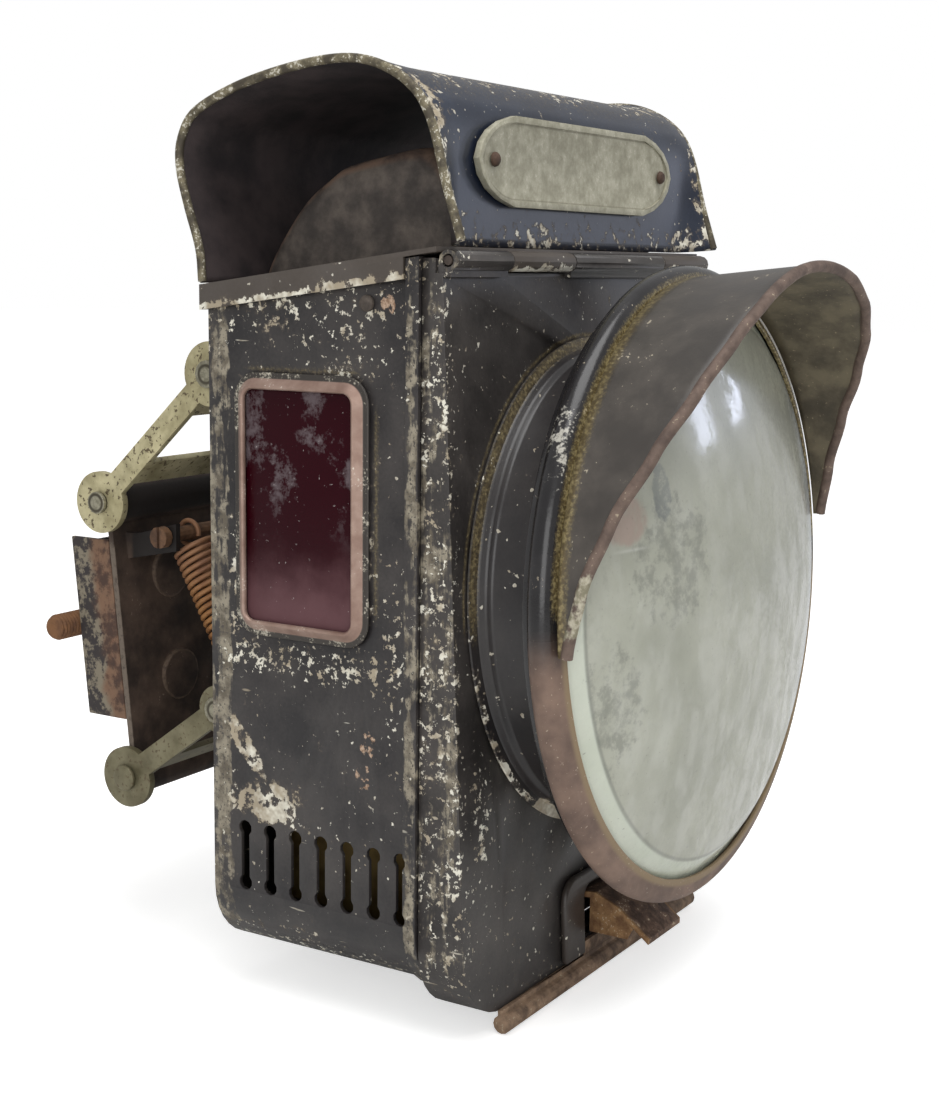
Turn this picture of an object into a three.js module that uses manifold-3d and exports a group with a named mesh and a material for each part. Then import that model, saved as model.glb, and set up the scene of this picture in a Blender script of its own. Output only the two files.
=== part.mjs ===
// Bicycle hub lamp: a U-shaped sheet case with a hooded top, a hinged front door that carries the
// lens barrel and visor, an oil burner inside, and a sprung link bracket behind that clamps to a hub.
// Units are millimetres. +Z is up and the lens faces -Y. The lamp stands on its foot bead and rear foot.

import * as THREE from "three";
import { mergeVertices } from "three/addons/utils/BufferGeometryUtils.js";
import Module from "manifold-3d";

const wasm = await Module();
wasm.setup();

// Sheet and fits
const sheet = 0.9;
const fit = 0.3;
const overrun = 2;

// How far the middle of the whole lamp lies behind the middle of its case
const originBehind = 0.65;

// Case
const caseHalfWidth = 53.5;
const caseBack = 26.2;
const caseFront = -22.5;
const caseBottom = 7.7;
const cornerRadius = 14;
const edgeBeadWidth = 2.8;
const edgeBeadRise = 0.8;

// Sill line of the sloping roof, at the middle of the case
const sillHeight = 144.9;
const roofSlopeShare = 0.1365;

// Side windows
const windowMiddleY = 3.8;
const windowDrop = 45.3;
const windowHalfDepth = 15.6;
const windowHalfHeight = 25.4;
const windowRound = 5.2;
const windowLip = 3.2;
const windowFlange = 1.1;
const windowFlangeRise = 0.6;
const windowRise = 2.2;
const windowCrest = 0.5;
const windowCollar = 0.7;
const windowReach = 3.2;
const glassThickness = 1.6;
const glassRise = 1;
const glassLap = 0.5;

// Air slots
const slotCount = 7;
const slotFirstY = 18.3;
const slotPitch = 6.17;
const slotLow = 21.8;
const slotHigh = 36.2;
const slotEndRadius = 1.6;
const slotWaist = 1;

// Round-headed rivets
const rivetRadius = 1.6;
const rivetRise = 1.1;
const rivetShares = [[0, 0], [1, 0], [0.92, 0.5], [0.6, 0.86], [0, 1]];
const sideRivetY = -11.1;
const sideRivetDrop = 6.6;

// Cap tray
const skirtDrop = 4.8;
const trayLip = -26.4;
const ventHalfWidth = 26;
const ventHalfDepth = 14;

// Hood
const hoodOverhang = 1;
const hoodMiddleY = 2.5;
const hoodHalfDepth = 28.5;
const hoodHeight = 35.5;
const hoodRimWidth = 1.8;
const hoodRimWall = 2.2;
const hoodFlareLength = 7.5;
const hoodFlareShare = 0.6;
const hoodCurveSteps = 26;
const hoodShares = [
  [0.825, 0], [0.895, 0.195], [0.979, 0.444], [1.014, 0.659], [0.972, 0.808], [0.846, 0.904],
  [0.404, 0.986], [-0.088, 0.994], [-0.439, 0.966], [-0.719, 0.89], [-0.881, 0.775], [-0.958, 0.64],
  [-0.972, 0.273], [-0.979, 0],
];
const hoodRimShares = [
  [0.898, 0], [0.923, 0.186], [1.021, 0.437], [1.084, 0.656], [1.056, 0.81], [0.923, 0.927],
  [0.54, 1.011], [0.053, 1.041], [-0.351, 1.014], [-0.639, 0.921], [-0.86, 0.772], [-0.982, 0.586],
  [-1.084, 0.287], [-1.196, 0],
];

// Inner dome
const domeHalfLength = 39.5;
const domeShoulder = 4.5;
const domeMiddleY = 0.4;
const domeHalfDepth = 24.2;
const domeHeight = 20.2;
const domeCurveSteps = 20;
const domeVentRadius = 2.2;
const domeVentCount = 5;
const domeVentPitch = 12;
const domeShares = [
  [1, 0], [0.992, 0.115], [0.843, 0.388], [0.607, 0.706], [0.355, 0.888], [0.207, 0.962], [-0.079, 0.99],
  [-0.533, 0.99], [-0.76, 0.8], [-0.905, 0.43], [-0.967, 0.15], [-0.983, 0],
];

// Nameplate, left bare
const plateMiddleX = -1.5;
const plateRiseShare = 0.4516;
const plateHalfLength = 40;
const plateHalfHeight = 8.3;
const plateFlatHalf = 27;
const plateThickness = 0.9;
const plateBorder = 1.2;
const plateBorderRise = 0.4;
const plateRivetInset = 5.4;
const plateRivetRadius = 1.4;
const plateEndShare = 0.75;

// Front hinge
const hingeY = -28;
const hingeRise = 1.2;
const knuckleRadius = 1.9;
const hingePinRadius = 0.9;
const hingeLeafDrop = 2.9;
const hingeLeafFront = 0.5;
const hingeLeafBack = 2;
const hingeBreakShares = [-0.62, -0.17, 0.58];

// Door
const doorTopDrop = 1;
const doorBottom = 4;
const doorFaceY = -26.9;
const doorLeanShare = 0.046;
const doorEarFront = -25.5;
const doorEarRise = 1.6;
const footBeadOverhang = 2.7;
const footBeadAhead = 1.16;
const footBeadRadius = 1.85;
const footBeadLap = 0.6;
const archFoot = 1.2;
const archHalfWidth = 17;
const archTop = 22.4;
const archBand = 8.2;
const archTopBand = 3.1;
const archRise = 1.5;
const archRound = 5;
const catchHoleHalfWidth = 8.4;
const catchHoleTop = 19.6;
const catchHoleBottom = 7.4;

// Barrel, bezel and lens, along the axis square to the door
const barrelRise = 8.05;
const barrelFoot = 49.3;
const barrelRadius = 46;
const barrelFilletRise = 3.4;
const barrelStep = 18.2;
const bezelMiddle = 22.2;
const bezelBead = 2.6;
const bezelRadius = 62.8;
const bezelWall = 3.6;
const bezelConeRun = 0.9;
const bezelConeInset = 2;
const lensEdge = 1;
const lensRest = 1.1;
const lensBevelInset = 3.4;
const lensBevelRise = 2.6;
const lensBulge = 8;
const ringSteps = 44;

// Visor
const visorSeat = 0.4;
const visorFlare = 1.5;
const visorReach = 25.6;
const visorHalfAngle = THREE.MathUtils.degToRad(88);
const visorTurn = THREE.MathUtils.degToRad(-5.5);
const visorRoll = 1.1;
const visorRollSteps = 6;
const visorRollStart = THREE.MathUtils.degToRad(50);
const visorShares = [0.1, 0.22, 0.4, 0.62, 0.81, 0.93, 0.99, 1, 0.99];

// Catch and its bracket
const catchHalfWidth = 7.6;
const catchSheet = 1.2;
const catchPivotY = -8;
const catchPivotZ = 12.4;
const catchPivotRadius = 1.2;
const catchCurl = 2.6;
const catchStart = -30.5;
const catchCrown = -36.3;
const catchCrownZ = 17.6;
const catchBend = -42;
const catchBendZ = 15.2;
const catchTip = -48.6;
const catchTipZ = 10;
const catchCheekEnd = -45;
const catchCheekZ = 9.6;
const catchEar = 1.5;

// Oil fount, burner, wick and winder
const fountHalfWidth = 38;
const fountFront = -16;
const fountBack = 22;
const fountLow = 15.5;
const fountHigh = 38;
const fountRunner = 4;
const fountRunnerX = 28;
const fountCapX = 24;
const fountCapRadius = 6;
const fountCapHeight = 4;
const fountCapGripShare = 0.6;
const fountCapGripRise = 2;
const fountCorner = 4;
const burnerY = 3;
const burnerRadius = 11;
const burnerHeight = 7;
const burnerNeck = 4;
const wickHalfWidth = 7;
const wickHalfDepth = 0.9;
const wickTubeWall = 0.8;
const wickTubeTop = 62;
const wickTop = 65;
const winderRadius = 0.9;
const winderKnob = 5;
const winderKnobLength = 2.4;
const winderKnobY = -16.6;

// Reflector
const reflectorRadius = 27;
const reflectorDepth = 7;
const reflectorY = 12;
const reflectorDrop = 2;
const reflectorBoss = 4;

// Rear foot
const rearFootY = 20.5;
const rearFootRadius = 5;

// Link bracket: the front pivots behind the case, and how far each link reaches back and down
const upperFrontBehind = 7;
const upperFrontDrop = 21.5;
const lowerFrontBehind = 5.7;
const lowerFrontRise = 47.3;
const upperLinkBack = 30.2;
const upperLinkFall = 28.1;
const lowerLinkBack = 25.4;
const lowerLinkFall = 18.4;
const linkHalfWidth = 45;
const linkSheet = 1.6;
const discRadius = 6.5;
const lowerFrontDisc = 5;
const armWidth = 4.8;
const linkWeb = 1.2;
const upperWeb = { from: 9, to: 16 };
const upperFrontWeb = { from: 31, to: 36 };
const lowerWeb = { from: 8, to: 15 };
const linkPinRadius = 1.9;
const openPinRadius = 1.7;
const linkPinHead = 0.9;
const tubeRadius = 5;
const smallTubeRadius = 4.2;
const tubeBore = 2.3;
const openTubeBore = 2.1;
const openPivotClearance = 0.6;
const linkPlateThickness = 1.4;
const linkPlateHalfWidth = 43;
const linkPlateMargin = 5;
const hookGap = 10.8;

// Rear plate and clamp
const plateOffset = 1;
const rearPlateSheet = 1.3;
const embossX = 26.5;
const embossBelow = 17;
const embossAbove = 19.1;
const embossRadius = 5.6;
const embossRise = 0.8;
const clampBelow = 8.3;
const clampAbove = 11.9;
const clampDepth = 12.2;
const clampSheet = 1.2;
const clampSlotHalf = 17;
const lugX = 30;
const lugThickness = 4;
const lugBack = 79;
const clampWallDepth = 5.5;
const boltY = 74.8;
const boltRiseShare = 0.4935;
const boltRadius = 2.8;
const boltReach = 4.8;
const boltGroove = 0.35;
const boltGrooveCount = 5;
const boltGroovePitch = 1.3;
const boltGrooveShares = [0.5, 0.9, 1.2];
const jawThickness = 3;
const jawHalfHeight = 7;
const nutRadius = 5.2;
const nutLength = 4;
const nutSides = 6;

// Spring anchor rod and springs
const anchorAhead = 12.8;
const anchorBelow = 6.9;
const anchorRadius = 1.7;
const anchorHeadRadius = 2.3;
const anchorHeadLength = 2;
const anchorSlot = 0.7;
const anchorEar = 1.4;
const anchorEarX = 38.4;
const anchorEarHalf = 2.9;
const springX = 31.5;
const springRadius = 4.4;
const springWire = 1.1;
const springPitch = 1.62;
const springHookShare = 0.86;
const springHookSteps = 12;
const springCoilSteps = 8;
const springSides = 5;
const hookFit = 0.4;

const arcSteps = 4;
const roundSteps = 16;
const smallSteps = 12;

// Materials
const paint = (color, roughness, metalness) => new THREE.MeshStandardMaterial({ color, roughness, metalness });
const japan = paint(0x2b2a2c, 0.45, 0.2);
const rust = paint(0x7a5a45, 0.85, 0.3);
const nickel = paint(0x96947a, 0.5, 0.8);
const bareMetal = paint(0x8d8872, 0.6, 0.7);
const ruby = paint(0x3c0a18, 0.2, 0);
const green = paint(0x0e3a24, 0.2, 0);
const clearGlass = paint(0xc2c9b8, 0.15, 0);
const copper = paint(0x8d6a5d, 0.6, 0.6);
const brass = paint(0x8a7340, 0.5, 0.8);
const silvered = paint(0xb9b9b3, 0.3, 0.9);
const cotton = paint(0xc9c0a4, 0.95, 0);
const springRust = paint(0xb06a32, 0.75, 0.4);

const lamp = new THREE.Group();

// Adds one finished solid under its name.
function place(name, geometry, material) {
  const ready = geometry.index ? geometry : mergeVertices(geometry);
  ready.computeVertexNormals();
  const mesh = new THREE.Mesh(ready, material);
  mesh.name = name;
  lamp.add(mesh);
  return mesh;
}

// Keeps only positions and welds shared corners.
function weld(geometry) {
  const plain = geometry.clone();
  plain.deleteAttribute("normal");
  plain.deleteAttribute("uv");
  return mergeVertices(plain);
}

// Turns a closed mesh into a solid, facing outwards whichever way it was wound.
function solid(geometry) {
  const welded = weld(geometry);
  const index = Uint32Array.from(welded.index.array);
  const at = welded.attributes.position;
  let volume = 0;
  const corner = [new THREE.Vector3(), new THREE.Vector3(), new THREE.Vector3()];
  for (let i = 0; i < index.length; i += 3) {
    corner.forEach((point, k) => point.fromBufferAttribute(at, index[i + k]));
    volume += corner[0].dot(corner[1].clone().cross(corner[2]));
  }
  if (volume < 0) {
    for (let i = 0; i < index.length; i += 3) {
      [index[i + 1], index[i + 2]] = [index[i + 2], index[i + 1]];
    }
  }
  const mesh = new wasm.Mesh({
    numProp: 3,
    vertProperties: Float32Array.from(at.array),
    triVerts: index,
  });
  return new wasm.Manifold(mesh);
}

// Turns a solid back into a geometry.
function shell(body) {
  const mesh = body.getMesh();
  const geometry = new THREE.BufferGeometry();
  geometry.setAttribute("position", new THREE.BufferAttribute(Float32Array.from(mesh.vertProperties), 3));
  geometry.setIndex(new THREE.BufferAttribute(Uint32Array.from(mesh.triVerts), 1));
  return geometry;
}

const join = (...bodies) => bodies.reduce((sum, body) => sum.add(body));
const cut = (body, ...tools) => tools.reduce((rest, tool) => rest.subtract(tool), body);

// Prisms: an outline in two axes, run along the third.
function prism(outline, depth) {
  return new THREE.ExtrudeGeometry(outline, { depth, bevelEnabled: false, curveSegments: arcSteps });
}

function prismX(outline, from, to) {
  const turn = new THREE.Matrix4().makeBasis(
    new THREE.Vector3(0, 1, 0), new THREE.Vector3(0, 0, 1), new THREE.Vector3(1, 0, 0));
  return solid(prism(outline, to - from).applyMatrix4(turn).translate(from, 0, 0));
}

function prismY(outline, from, to) {
  return solid(prism(outline, to - from).rotateX(Math.PI / 2).translate(0, to, 0));
}

function prismZ(outline, from, to) {
  return solid(prism(outline, to - from).translate(0, 0, from));
}

function block(x0, x1, y0, y1, z0, z1) {
  const geometry = new THREE.BoxGeometry(x1 - x0, y1 - y0, z1 - z0);
  return solid(geometry.translate((x0 + x1) / 2, (y0 + y1) / 2, (z0 + z1) / 2));
}

// Round bars along each axis.
function barX(y, z, radius, from, to, steps = roundSteps) {
  const geometry = new THREE.CylinderGeometry(radius, radius, to - from, steps);
  return solid(geometry.rotateZ(-Math.PI / 2).translate((from + to) / 2, y, z));
}

function barY(x, z, radius, from, to, steps = roundSteps) {
  const geometry = new THREE.CylinderGeometry(radius, radius, to - from, steps);
  return solid(geometry.translate(x, (from + to) / 2, z));
}

function barZ(x, y, radius, from, to, steps = roundSteps) {
  const geometry = new THREE.CylinderGeometry(radius, radius, to - from, steps);
  return solid(geometry.rotateX(Math.PI / 2).translate(x, y, (from + to) / 2));
}

// Outlines
function roundedBox(x0, x1, y0, y1, round, Kind = THREE.Shape) {
  const outline = new Kind();
  outline.moveTo(x0 + round, y0);
  outline.lineTo(x1 - round, y0);
  outline.absarc(x1 - round, y0 + round, round, -Math.PI / 2, 0, false);
  outline.lineTo(x1, y1 - round);
  outline.absarc(x1 - round, y1 - round, round, 0, Math.PI / 2, false);
  outline.lineTo(x0 + round, y1);
  outline.absarc(x0 + round, y1 - round, round, Math.PI / 2, Math.PI, false);
  outline.lineTo(x0, y0 + round);
  outline.absarc(x0 + round, y0 + round, round, Math.PI, Math.PI * 1.5, false);
  return outline;
}

// U outline of the case and door: square at the top, rounded at the bottom.
function caseOutline(grow, bottom, top) {
  const half = caseHalfWidth + grow;
  const low = bottom - grow;
  const round = cornerRadius + grow;
  const outline = new THREE.Shape();
  outline.moveTo(-half, top);
  outline.lineTo(-half, low + round);
  outline.absarc(-half + round, low + round, round, Math.PI, Math.PI * 1.5, false);
  outline.lineTo(half - round, low);
  outline.absarc(half - round, low + round, round, -Math.PI / 2, 0, false);
  outline.lineTo(half, top);
  outline.closePath();
  return outline;
}

function polygon(points) {
  return new THREE.Shape(points.map(([a, b]) => new THREE.Vector2(a, b)));
}

const sillAt = (y) => sillHeight - roofSlopeShare * y;

// A block whose top and bottom follow the roof's slope; heights are measured from the sill line.
function slopedBlock(x0, x1, y0, y1, low, high) {
  const outline = polygon([[y0, sillAt(y0) + low], [y1, sillAt(y1) + low], [y1, sillAt(y1) + high],
    [y0, sillAt(y0) + high]]);
  return prismX(outline, x0, x1);
}

// A closed skin through rings of points; flat gives a ring's points in the plane of that ring.
function skin(rings, flat) {
  const size = rings[0].length;
  const index = [];
  for (let r = 0; r + 1 < rings.length; r++) {
    for (let k = 0; k < size; k++) {
      const a = r * size + k;
      const b = r * size + (k + 1) % size;
      index.push(a, b, b + size, a, b + size, a + size);
    }
  }
  const last = size * (rings.length - 1);
  const area = THREE.ShapeUtils.area;
  for (const [ring, first, ahead] of [[rings[0], 0, false], [rings[rings.length - 1], last, true]]) {
    const outline = ring.map(flat);
    for (const [a, b, c] of THREE.ShapeUtils.triangulateShape(outline, [])) {
      const same = area([outline[a], outline[b], outline[c]]) * area(outline) > 0;
      if (same === ahead) index.push(first + a, first + b, first + c);
      else index.push(first + a, first + c, first + b);
    }
  }
  const geometry = new THREE.BufferGeometry().setFromPoints(rings.flat());
  geometry.setIndex(index);
  return geometry;
}

const fromSide = (point) => new THREE.Vector2(point.y, point.z);
const fromAxis = (point) => new THREE.Vector2(Math.hypot(point.x, point.z), point.y);

// A sheet bent along a curve and run along X: outer and inner lines at each station.
function sheetLoft(stations) {
  const rings = stations.map(({ x, outer, inner }) => [
    ...outer.map(([y, z]) => new THREE.Vector3(x, y, z)),
    ...inner.slice().reverse().map(([y, z]) => new THREE.Vector3(x, y, z)),
  ]);
  return solid(skin(rings, fromSide));
}

// A smooth line over the sloping deck, through places given as shares of a depth and a height.
function smoothLine(shares, middle, depth, height, steps) {
  const through = shares.map(([a, b]) => new THREE.Vector2(middle + a * depth, b * height));
  return new THREE.SplineCurve(through).getPoints(steps).map(({ x, y }) => [x, sillAt(x) + fit + y]);
}

// The line moved inwards by a wall, with its two feet kept on the deck.
function inwards(line, wall) {
  return line.map(([y, z], k) => {
    const before = line[Math.max(k - 1, 0)];
    const after = line[Math.min(k + 1, line.length - 1)];
    const along = new THREE.Vector2(after[0] - before[0], after[1] - before[1]).normalize();
    const moved = [y - along.y * wall, z + along.x * wall];
    if (k === 0 || k === line.length - 1) moved[1] = sillAt(moved[0]) + fit;
    return moved;
  });
}

// Heights that follow the sill
const windowMiddleZ = sillHeight - windowDrop;
const sideRivetZ = sillHeight - sideRivetDrop;
const hingeZ = sillHeight + hingeRise;
const doorTop = sillHeight - doorTopDrop;
const barrelZ = (doorBottom + doorTop) / 2 + barrelRise;
const reflectorZ = barrelZ - reflectorDrop;

// Outline of a side window at a place along X, drawn in from the frame's edge by a trim
function windowRing(trim, x) {
  const round = Math.max(windowRound - trim, windowCollar);
  const outline = roundedBox(windowMiddleY - windowHalfDepth + trim, windowMiddleY + windowHalfDepth - trim,
    windowMiddleZ - windowHalfHeight + trim, windowMiddleZ + windowHalfHeight - trim, round);
  return outline.extractPoints(arcSteps).shape.map((point) => new THREE.Vector3(x, point.x, point.y));
}

const windowFace = caseHalfWidth + fit;
const paneFront = caseHalfWidth + glassRise;
const paneBack = paneFront - glassThickness;
const paneTrim = windowLip - glassLap;
const pocketTrim = paneTrim - fit;
const collarTrim = pocketTrim - windowCollar;

// Case: the U wrap with its back wall, a bead along the front edge, windows and air slots
function slotOutline(y) {
  const outline = new THREE.Shape();
  const reach = Math.acos(slotWaist / slotEndRadius);
  const low = slotLow + slotEndRadius;
  const high = slotHigh - slotEndRadius;
  outline.absarc(y, high, slotEndRadius, -reach, Math.PI + reach, false);
  outline.absarc(y, low, slotEndRadius, Math.PI - reach, Math.PI * 2 + reach, false);
  outline.closePath();
  return outline;
}

function makeCase() {
  const top = sillHeight + skirtDrop * 2;
  const outer = join(
    prismY(caseOutline(0, caseBottom, top), caseFront, caseBack),
    prismY(caseOutline(edgeBeadRise, caseBottom, top), caseFront, caseFront + edgeBeadWidth));
  const inner = prismY(caseOutline(-sheet, caseBottom, top + overrun), caseFront - overrun, caseBack - sheet);
  const roof = slopedBlock(-caseHalfWidth * 2, caseHalfWidth * 2, caseFront - overrun, caseBack + overrun,
    -sheet - fit, skirtDrop * 4);
  const reach = caseHalfWidth + overrun;
  const window = solid(skin([-reach, reach].map((x) => windowRing(collarTrim - fit, x)), fromSide));
  const slots = Array.from({ length: slotCount }, (_, k) =>
    prismX(slotOutline(slotFirstY - k * slotPitch), -reach, reach));
  return cut(outer, inner, roof, window, ...slots);
}
place("case_shell", shell(makeCase()), japan);

// Rear foot under the case
place("rear_foot", shell(barZ(0, rearFootY, rearFootRadius, 0, caseBottom - fit)), japan);

// Cap tray: sloping deck with a skirt on three sides, a vent, and the fixed hinge knuckles
function knuckle(from, to) {
  return barX(hingeY, hingeZ, knuckleRadius, from + fit / 2, to - fit / 2, smallSteps);
}
const hingeHalfLength = caseHalfWidth;
const hingeBreaks = hingeBreakShares.map((share) => share * hingeHalfLength);
const hingeBore = barX(hingeY, hingeZ, hingePinRadius + fit, -hingeHalfLength - overrun,
  hingeHalfLength + overrun, smallSteps);

function makeTray() {
  const half = caseHalfWidth + fit + sheet;
  const back = caseBack + fit + sheet;
  const deck = slopedBlock(-half, half, trayLip, back, -sheet, 0);
  const skirt = cut(
    slopedBlock(-half, half, caseFront + edgeBeadWidth + fit, back, -skirtDrop, -sheet / 2),
    slopedBlock(-half + sheet, half - sheet, trayLip, back - sheet, -skirtDrop - overrun, overrun));
  const vent = slopedBlock(-ventHalfWidth, ventHalfWidth, domeMiddleY - ventHalfDepth,
    domeMiddleY + ventHalfDepth, -skirtDrop, skirtDrop);
  const knuckles = [[hingeBreaks[0], hingeBreaks[1]], [hingeBreaks[2], hingeHalfLength]].map(([from, to]) => {
    const top = sillAt(trayLip) - sheet / 2;
    const lug = block(from + fit / 2, to - fit / 2, hingeY, trayLip + overrun,
      hingeZ + hingePinRadius + fit, top);
    return join(lug, knuckle(from, to));
  });
  return cut(join(deck, skirt, ...knuckles), vent, hingeBore);
}
place("cap_tray", shell(makeTray()), japan);
place("hinge_pin", shell(barX(hingeY, hingeZ, hingePinRadius, -hingeHalfLength, hingeHalfLength,
  smallSteps)), rust);

// Hood: an arched tunnel along X, open at both ends, with flared rolled rims
function makeHood() {
  const base = smoothLine(hoodShares, hoodMiddleY, hoodHalfDepth, hoodHeight, hoodCurveSteps);
  const rim = smoothLine(hoodRimShares, hoodMiddleY, hoodHalfDepth, hoodHeight, hoodCurveSteps);
  const station = (x, flare, wall) => {
    const outer = base.map(([y, z], k) => [y + (rim[k][0] - y) * flare, z + (rim[k][1] - z) * flare]);
    return { x, outer, inner: inwards(outer, wall) };
  };
  const end = caseHalfWidth + hoodOverhang;
  const half = [
    station(end, 1, hoodRimWall),
    station(end - hoodRimWidth, 1, hoodRimWall),
    station(end - hoodRimWidth * 2, hoodFlareShare, sheet),
    station(end - hoodFlareLength, 0, sheet),
  ];
  const mirrored = half.map((one) => ({ ...one, x: -one.x })).reverse();
  return sheetLoft([...half, ...mirrored]);
}
place("hood", shell(makeHood()), japan);

// Inner dome over the vent, with rounded shoulders and vent holes on its front
function makeDome() {
  const section = (inset, drop) => {
    const line = smoothLine(domeShares, domeMiddleY, domeHalfDepth - inset, domeHeight - inset, domeCurveSteps);
    for (const end of [line[0], line[line.length - 1]]) end[1] -= drop;
    return line;
  };
  const ring = (x, inset, drop) => section(inset, drop).map(([y, z]) => new THREE.Vector3(x, y, z));
  const body = (wall, drop) => {
    const long = domeHalfLength - wall;
    const steps = [[long, domeShoulder], [long - domeShoulder / 3, domeShoulder / 3], [long - domeShoulder, 0]];
    const half = steps.map(([x, inset]) => ring(x, inset + wall, drop));
    const other = steps.map(([x, inset]) => ring(-x, inset + wall, drop)).reverse();
    return solid(skin([...half, ...other], fromSide));
  };
  const first = -domeVentPitch * (domeVentCount - 1) / 2;
  const vents = Array.from({ length: domeVentCount }, (_, k) =>
    barY(first + k * domeVentPitch, sillHeight + domeHeight / 2, domeVentRadius,
      domeMiddleY - domeHalfDepth - overrun, domeMiddleY, smallSteps));
  return cut(body(0, 0), body(sheet, overrun), ...vents);
}
place("inner_dome", shell(makeDome()), rust);

// Side windows: a flat flange and a bevel that rises to the glass; the collar and inner lip hold the pane
function makeFrame() {
  const front = windowFace + windowRise;
  const rear = windowFace - windowReach;
  const flange = windowFace + windowFlangeRise;
  const profile = [[0, windowFace], [0, flange], [windowFlange, flange], [windowLip - windowCrest, front],
    [windowLip, front - windowCrest], [windowLip, paneFront + fit], [pocketTrim, paneFront + fit],
    [pocketTrim, paneBack - fit], [windowLip, paneBack - fit], [windowLip, rear], [collarTrim, rear],
    [collarTrim, windowFace]];
  const rings = profile.map(([trim, x]) => windowRing(trim, x));
  const size = rings[0].length;
  const index = [];
  rings.forEach((ring, r) => {
    const next = (r + 1) % rings.length * size;
    for (let k = 0; k < size; k++) {
      const a = r * size + k;
      const b = r * size + (k + 1) % size;
      const c = next + (k + 1) % size;
      const d = next + k;
      index.push(a, b, c, a, c, d);
    }
  });
  const geometry = new THREE.BufferGeometry().setFromPoints(rings.flat());
  geometry.setIndex(index);
  return solid(geometry);
}

function makePane() {
  const rings = [windowRing(paneTrim, paneBack), windowRing(paneTrim, paneFront)];
  return solid(skin(rings, fromSide));
}

// A low round rivet head, standing along the given direction from its seat.
function rivetHead(radius, rise) {
  const profile = rivetShares.map(([across, up]) => new THREE.Vector2(radius * across, rise * up));
  return new THREE.LatheGeometry(profile, smallSteps);
}

for (const [side, word, glass] of [[-1, "left", ruby], [1, "right", green]]) {
  place(`side_frame_${word}`, shell(makeFrame().scale([side, 1, 1])), copper);
  place(`side_glass_${word}`, shell(makePane().scale([side, 1, 1])), glass);
  const head = rivetHead(rivetRadius, rivetRise).rotateZ(-side * Math.PI / 2)
    .translate(side * (caseHalfWidth + fit), sideRivetY, sideRivetZ);
  place(`side_rivet_${word}`, shell(solid(head)), bareMetal);
}

// Nameplate: a bare plate with pointed round ends and a raised border
const hoodFaceY = hoodMiddleY + hoodHalfDepth * hoodShares[hoodShares.length - 1][0];
const plateMiddleZ = sillAt(hoodFaceY) + hoodHeight * plateRiseShare;

function plateOutline(trim, Kind = THREE.Shape) {
  const outline = new Kind();
  const tall = plateHalfHeight - trim;
  const long = plateHalfLength - trim;
  const shoulder = tall * plateEndShare;
  outline.moveTo(plateMiddleX - plateFlatHalf, plateMiddleZ - tall);
  outline.lineTo(plateMiddleX + plateFlatHalf, plateMiddleZ - tall);
  outline.quadraticCurveTo(plateMiddleX + long - plateBorder, plateMiddleZ - shoulder,
    plateMiddleX + long, plateMiddleZ);
  outline.quadraticCurveTo(plateMiddleX + long - plateBorder, plateMiddleZ + shoulder,
    plateMiddleX + plateFlatHalf, plateMiddleZ + tall);
  outline.lineTo(plateMiddleX - plateFlatHalf, plateMiddleZ + tall);
  outline.quadraticCurveTo(plateMiddleX - long + plateBorder, plateMiddleZ + shoulder,
    plateMiddleX - long, plateMiddleZ);
  outline.quadraticCurveTo(plateMiddleX - long + plateBorder, plateMiddleZ - shoulder,
    plateMiddleX - plateFlatHalf, plateMiddleZ - tall);
  return outline;
}

const plateBack = hoodFaceY - fit;
const plateFace = plateBack - plateThickness;
const border = plateOutline(0);
border.holes.push(plateOutline(plateBorder, THREE.Path));
place("nameplate", shell(join(prismY(plateOutline(0), plateFace, plateBack),
  prismY(border, plateFace - plateBorderRise, plateFace + plateThickness / 2))), bareMetal);
for (const [side, word] of [[-1, "left"], [1, "right"]]) {
  const x = plateMiddleX + side * (plateHalfLength - plateRivetInset);
  const head = rivetHead(plateRivetRadius, rivetRise).rotateX(Math.PI)
    .translate(x, plateFace - fit, plateMiddleZ);
  place(`plate_rivet_${word}`, shell(solid(head)), rust);
}

// Door: a shallow pan whose face leans forward towards the foot
const doorFaceAt = (z) => doorFaceY - doorLeanShare * (hingeZ - z);
const doorLean = Math.atan(doorLeanShare);

// Everything in front of the leaning face, moved back by a wall.
function beyondFace(wall) {
  const far = doorFaceY - caseHalfWidth;
  const low = doorBottom - overrun * 2;
  const high = hingeZ + overrun;
  const outline = polygon([[doorFaceAt(low) + wall, low], [doorFaceAt(high) + wall, high], [far, high],
    [far, low]]);
  return prismX(outline, -caseHalfWidth * 2, caseHalfWidth * 2);
}

// Places what is drawn around the Y axis onto the door, standing square to its face.
function ontoDoor(geometry) {
  return geometry.rotateX(Math.PI - doorLean).translate(0, doorFaceAt(barrelZ), barrelZ);
}

function turned(profile, steps) {
  const points = profile.map(([a, b]) => new THREE.Vector2(a, b));
  if (profile[0][0] > 0) points.push(points[0].clone());
  return solid(ontoDoor(new THREE.LatheGeometry(points, steps)));
}

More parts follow.
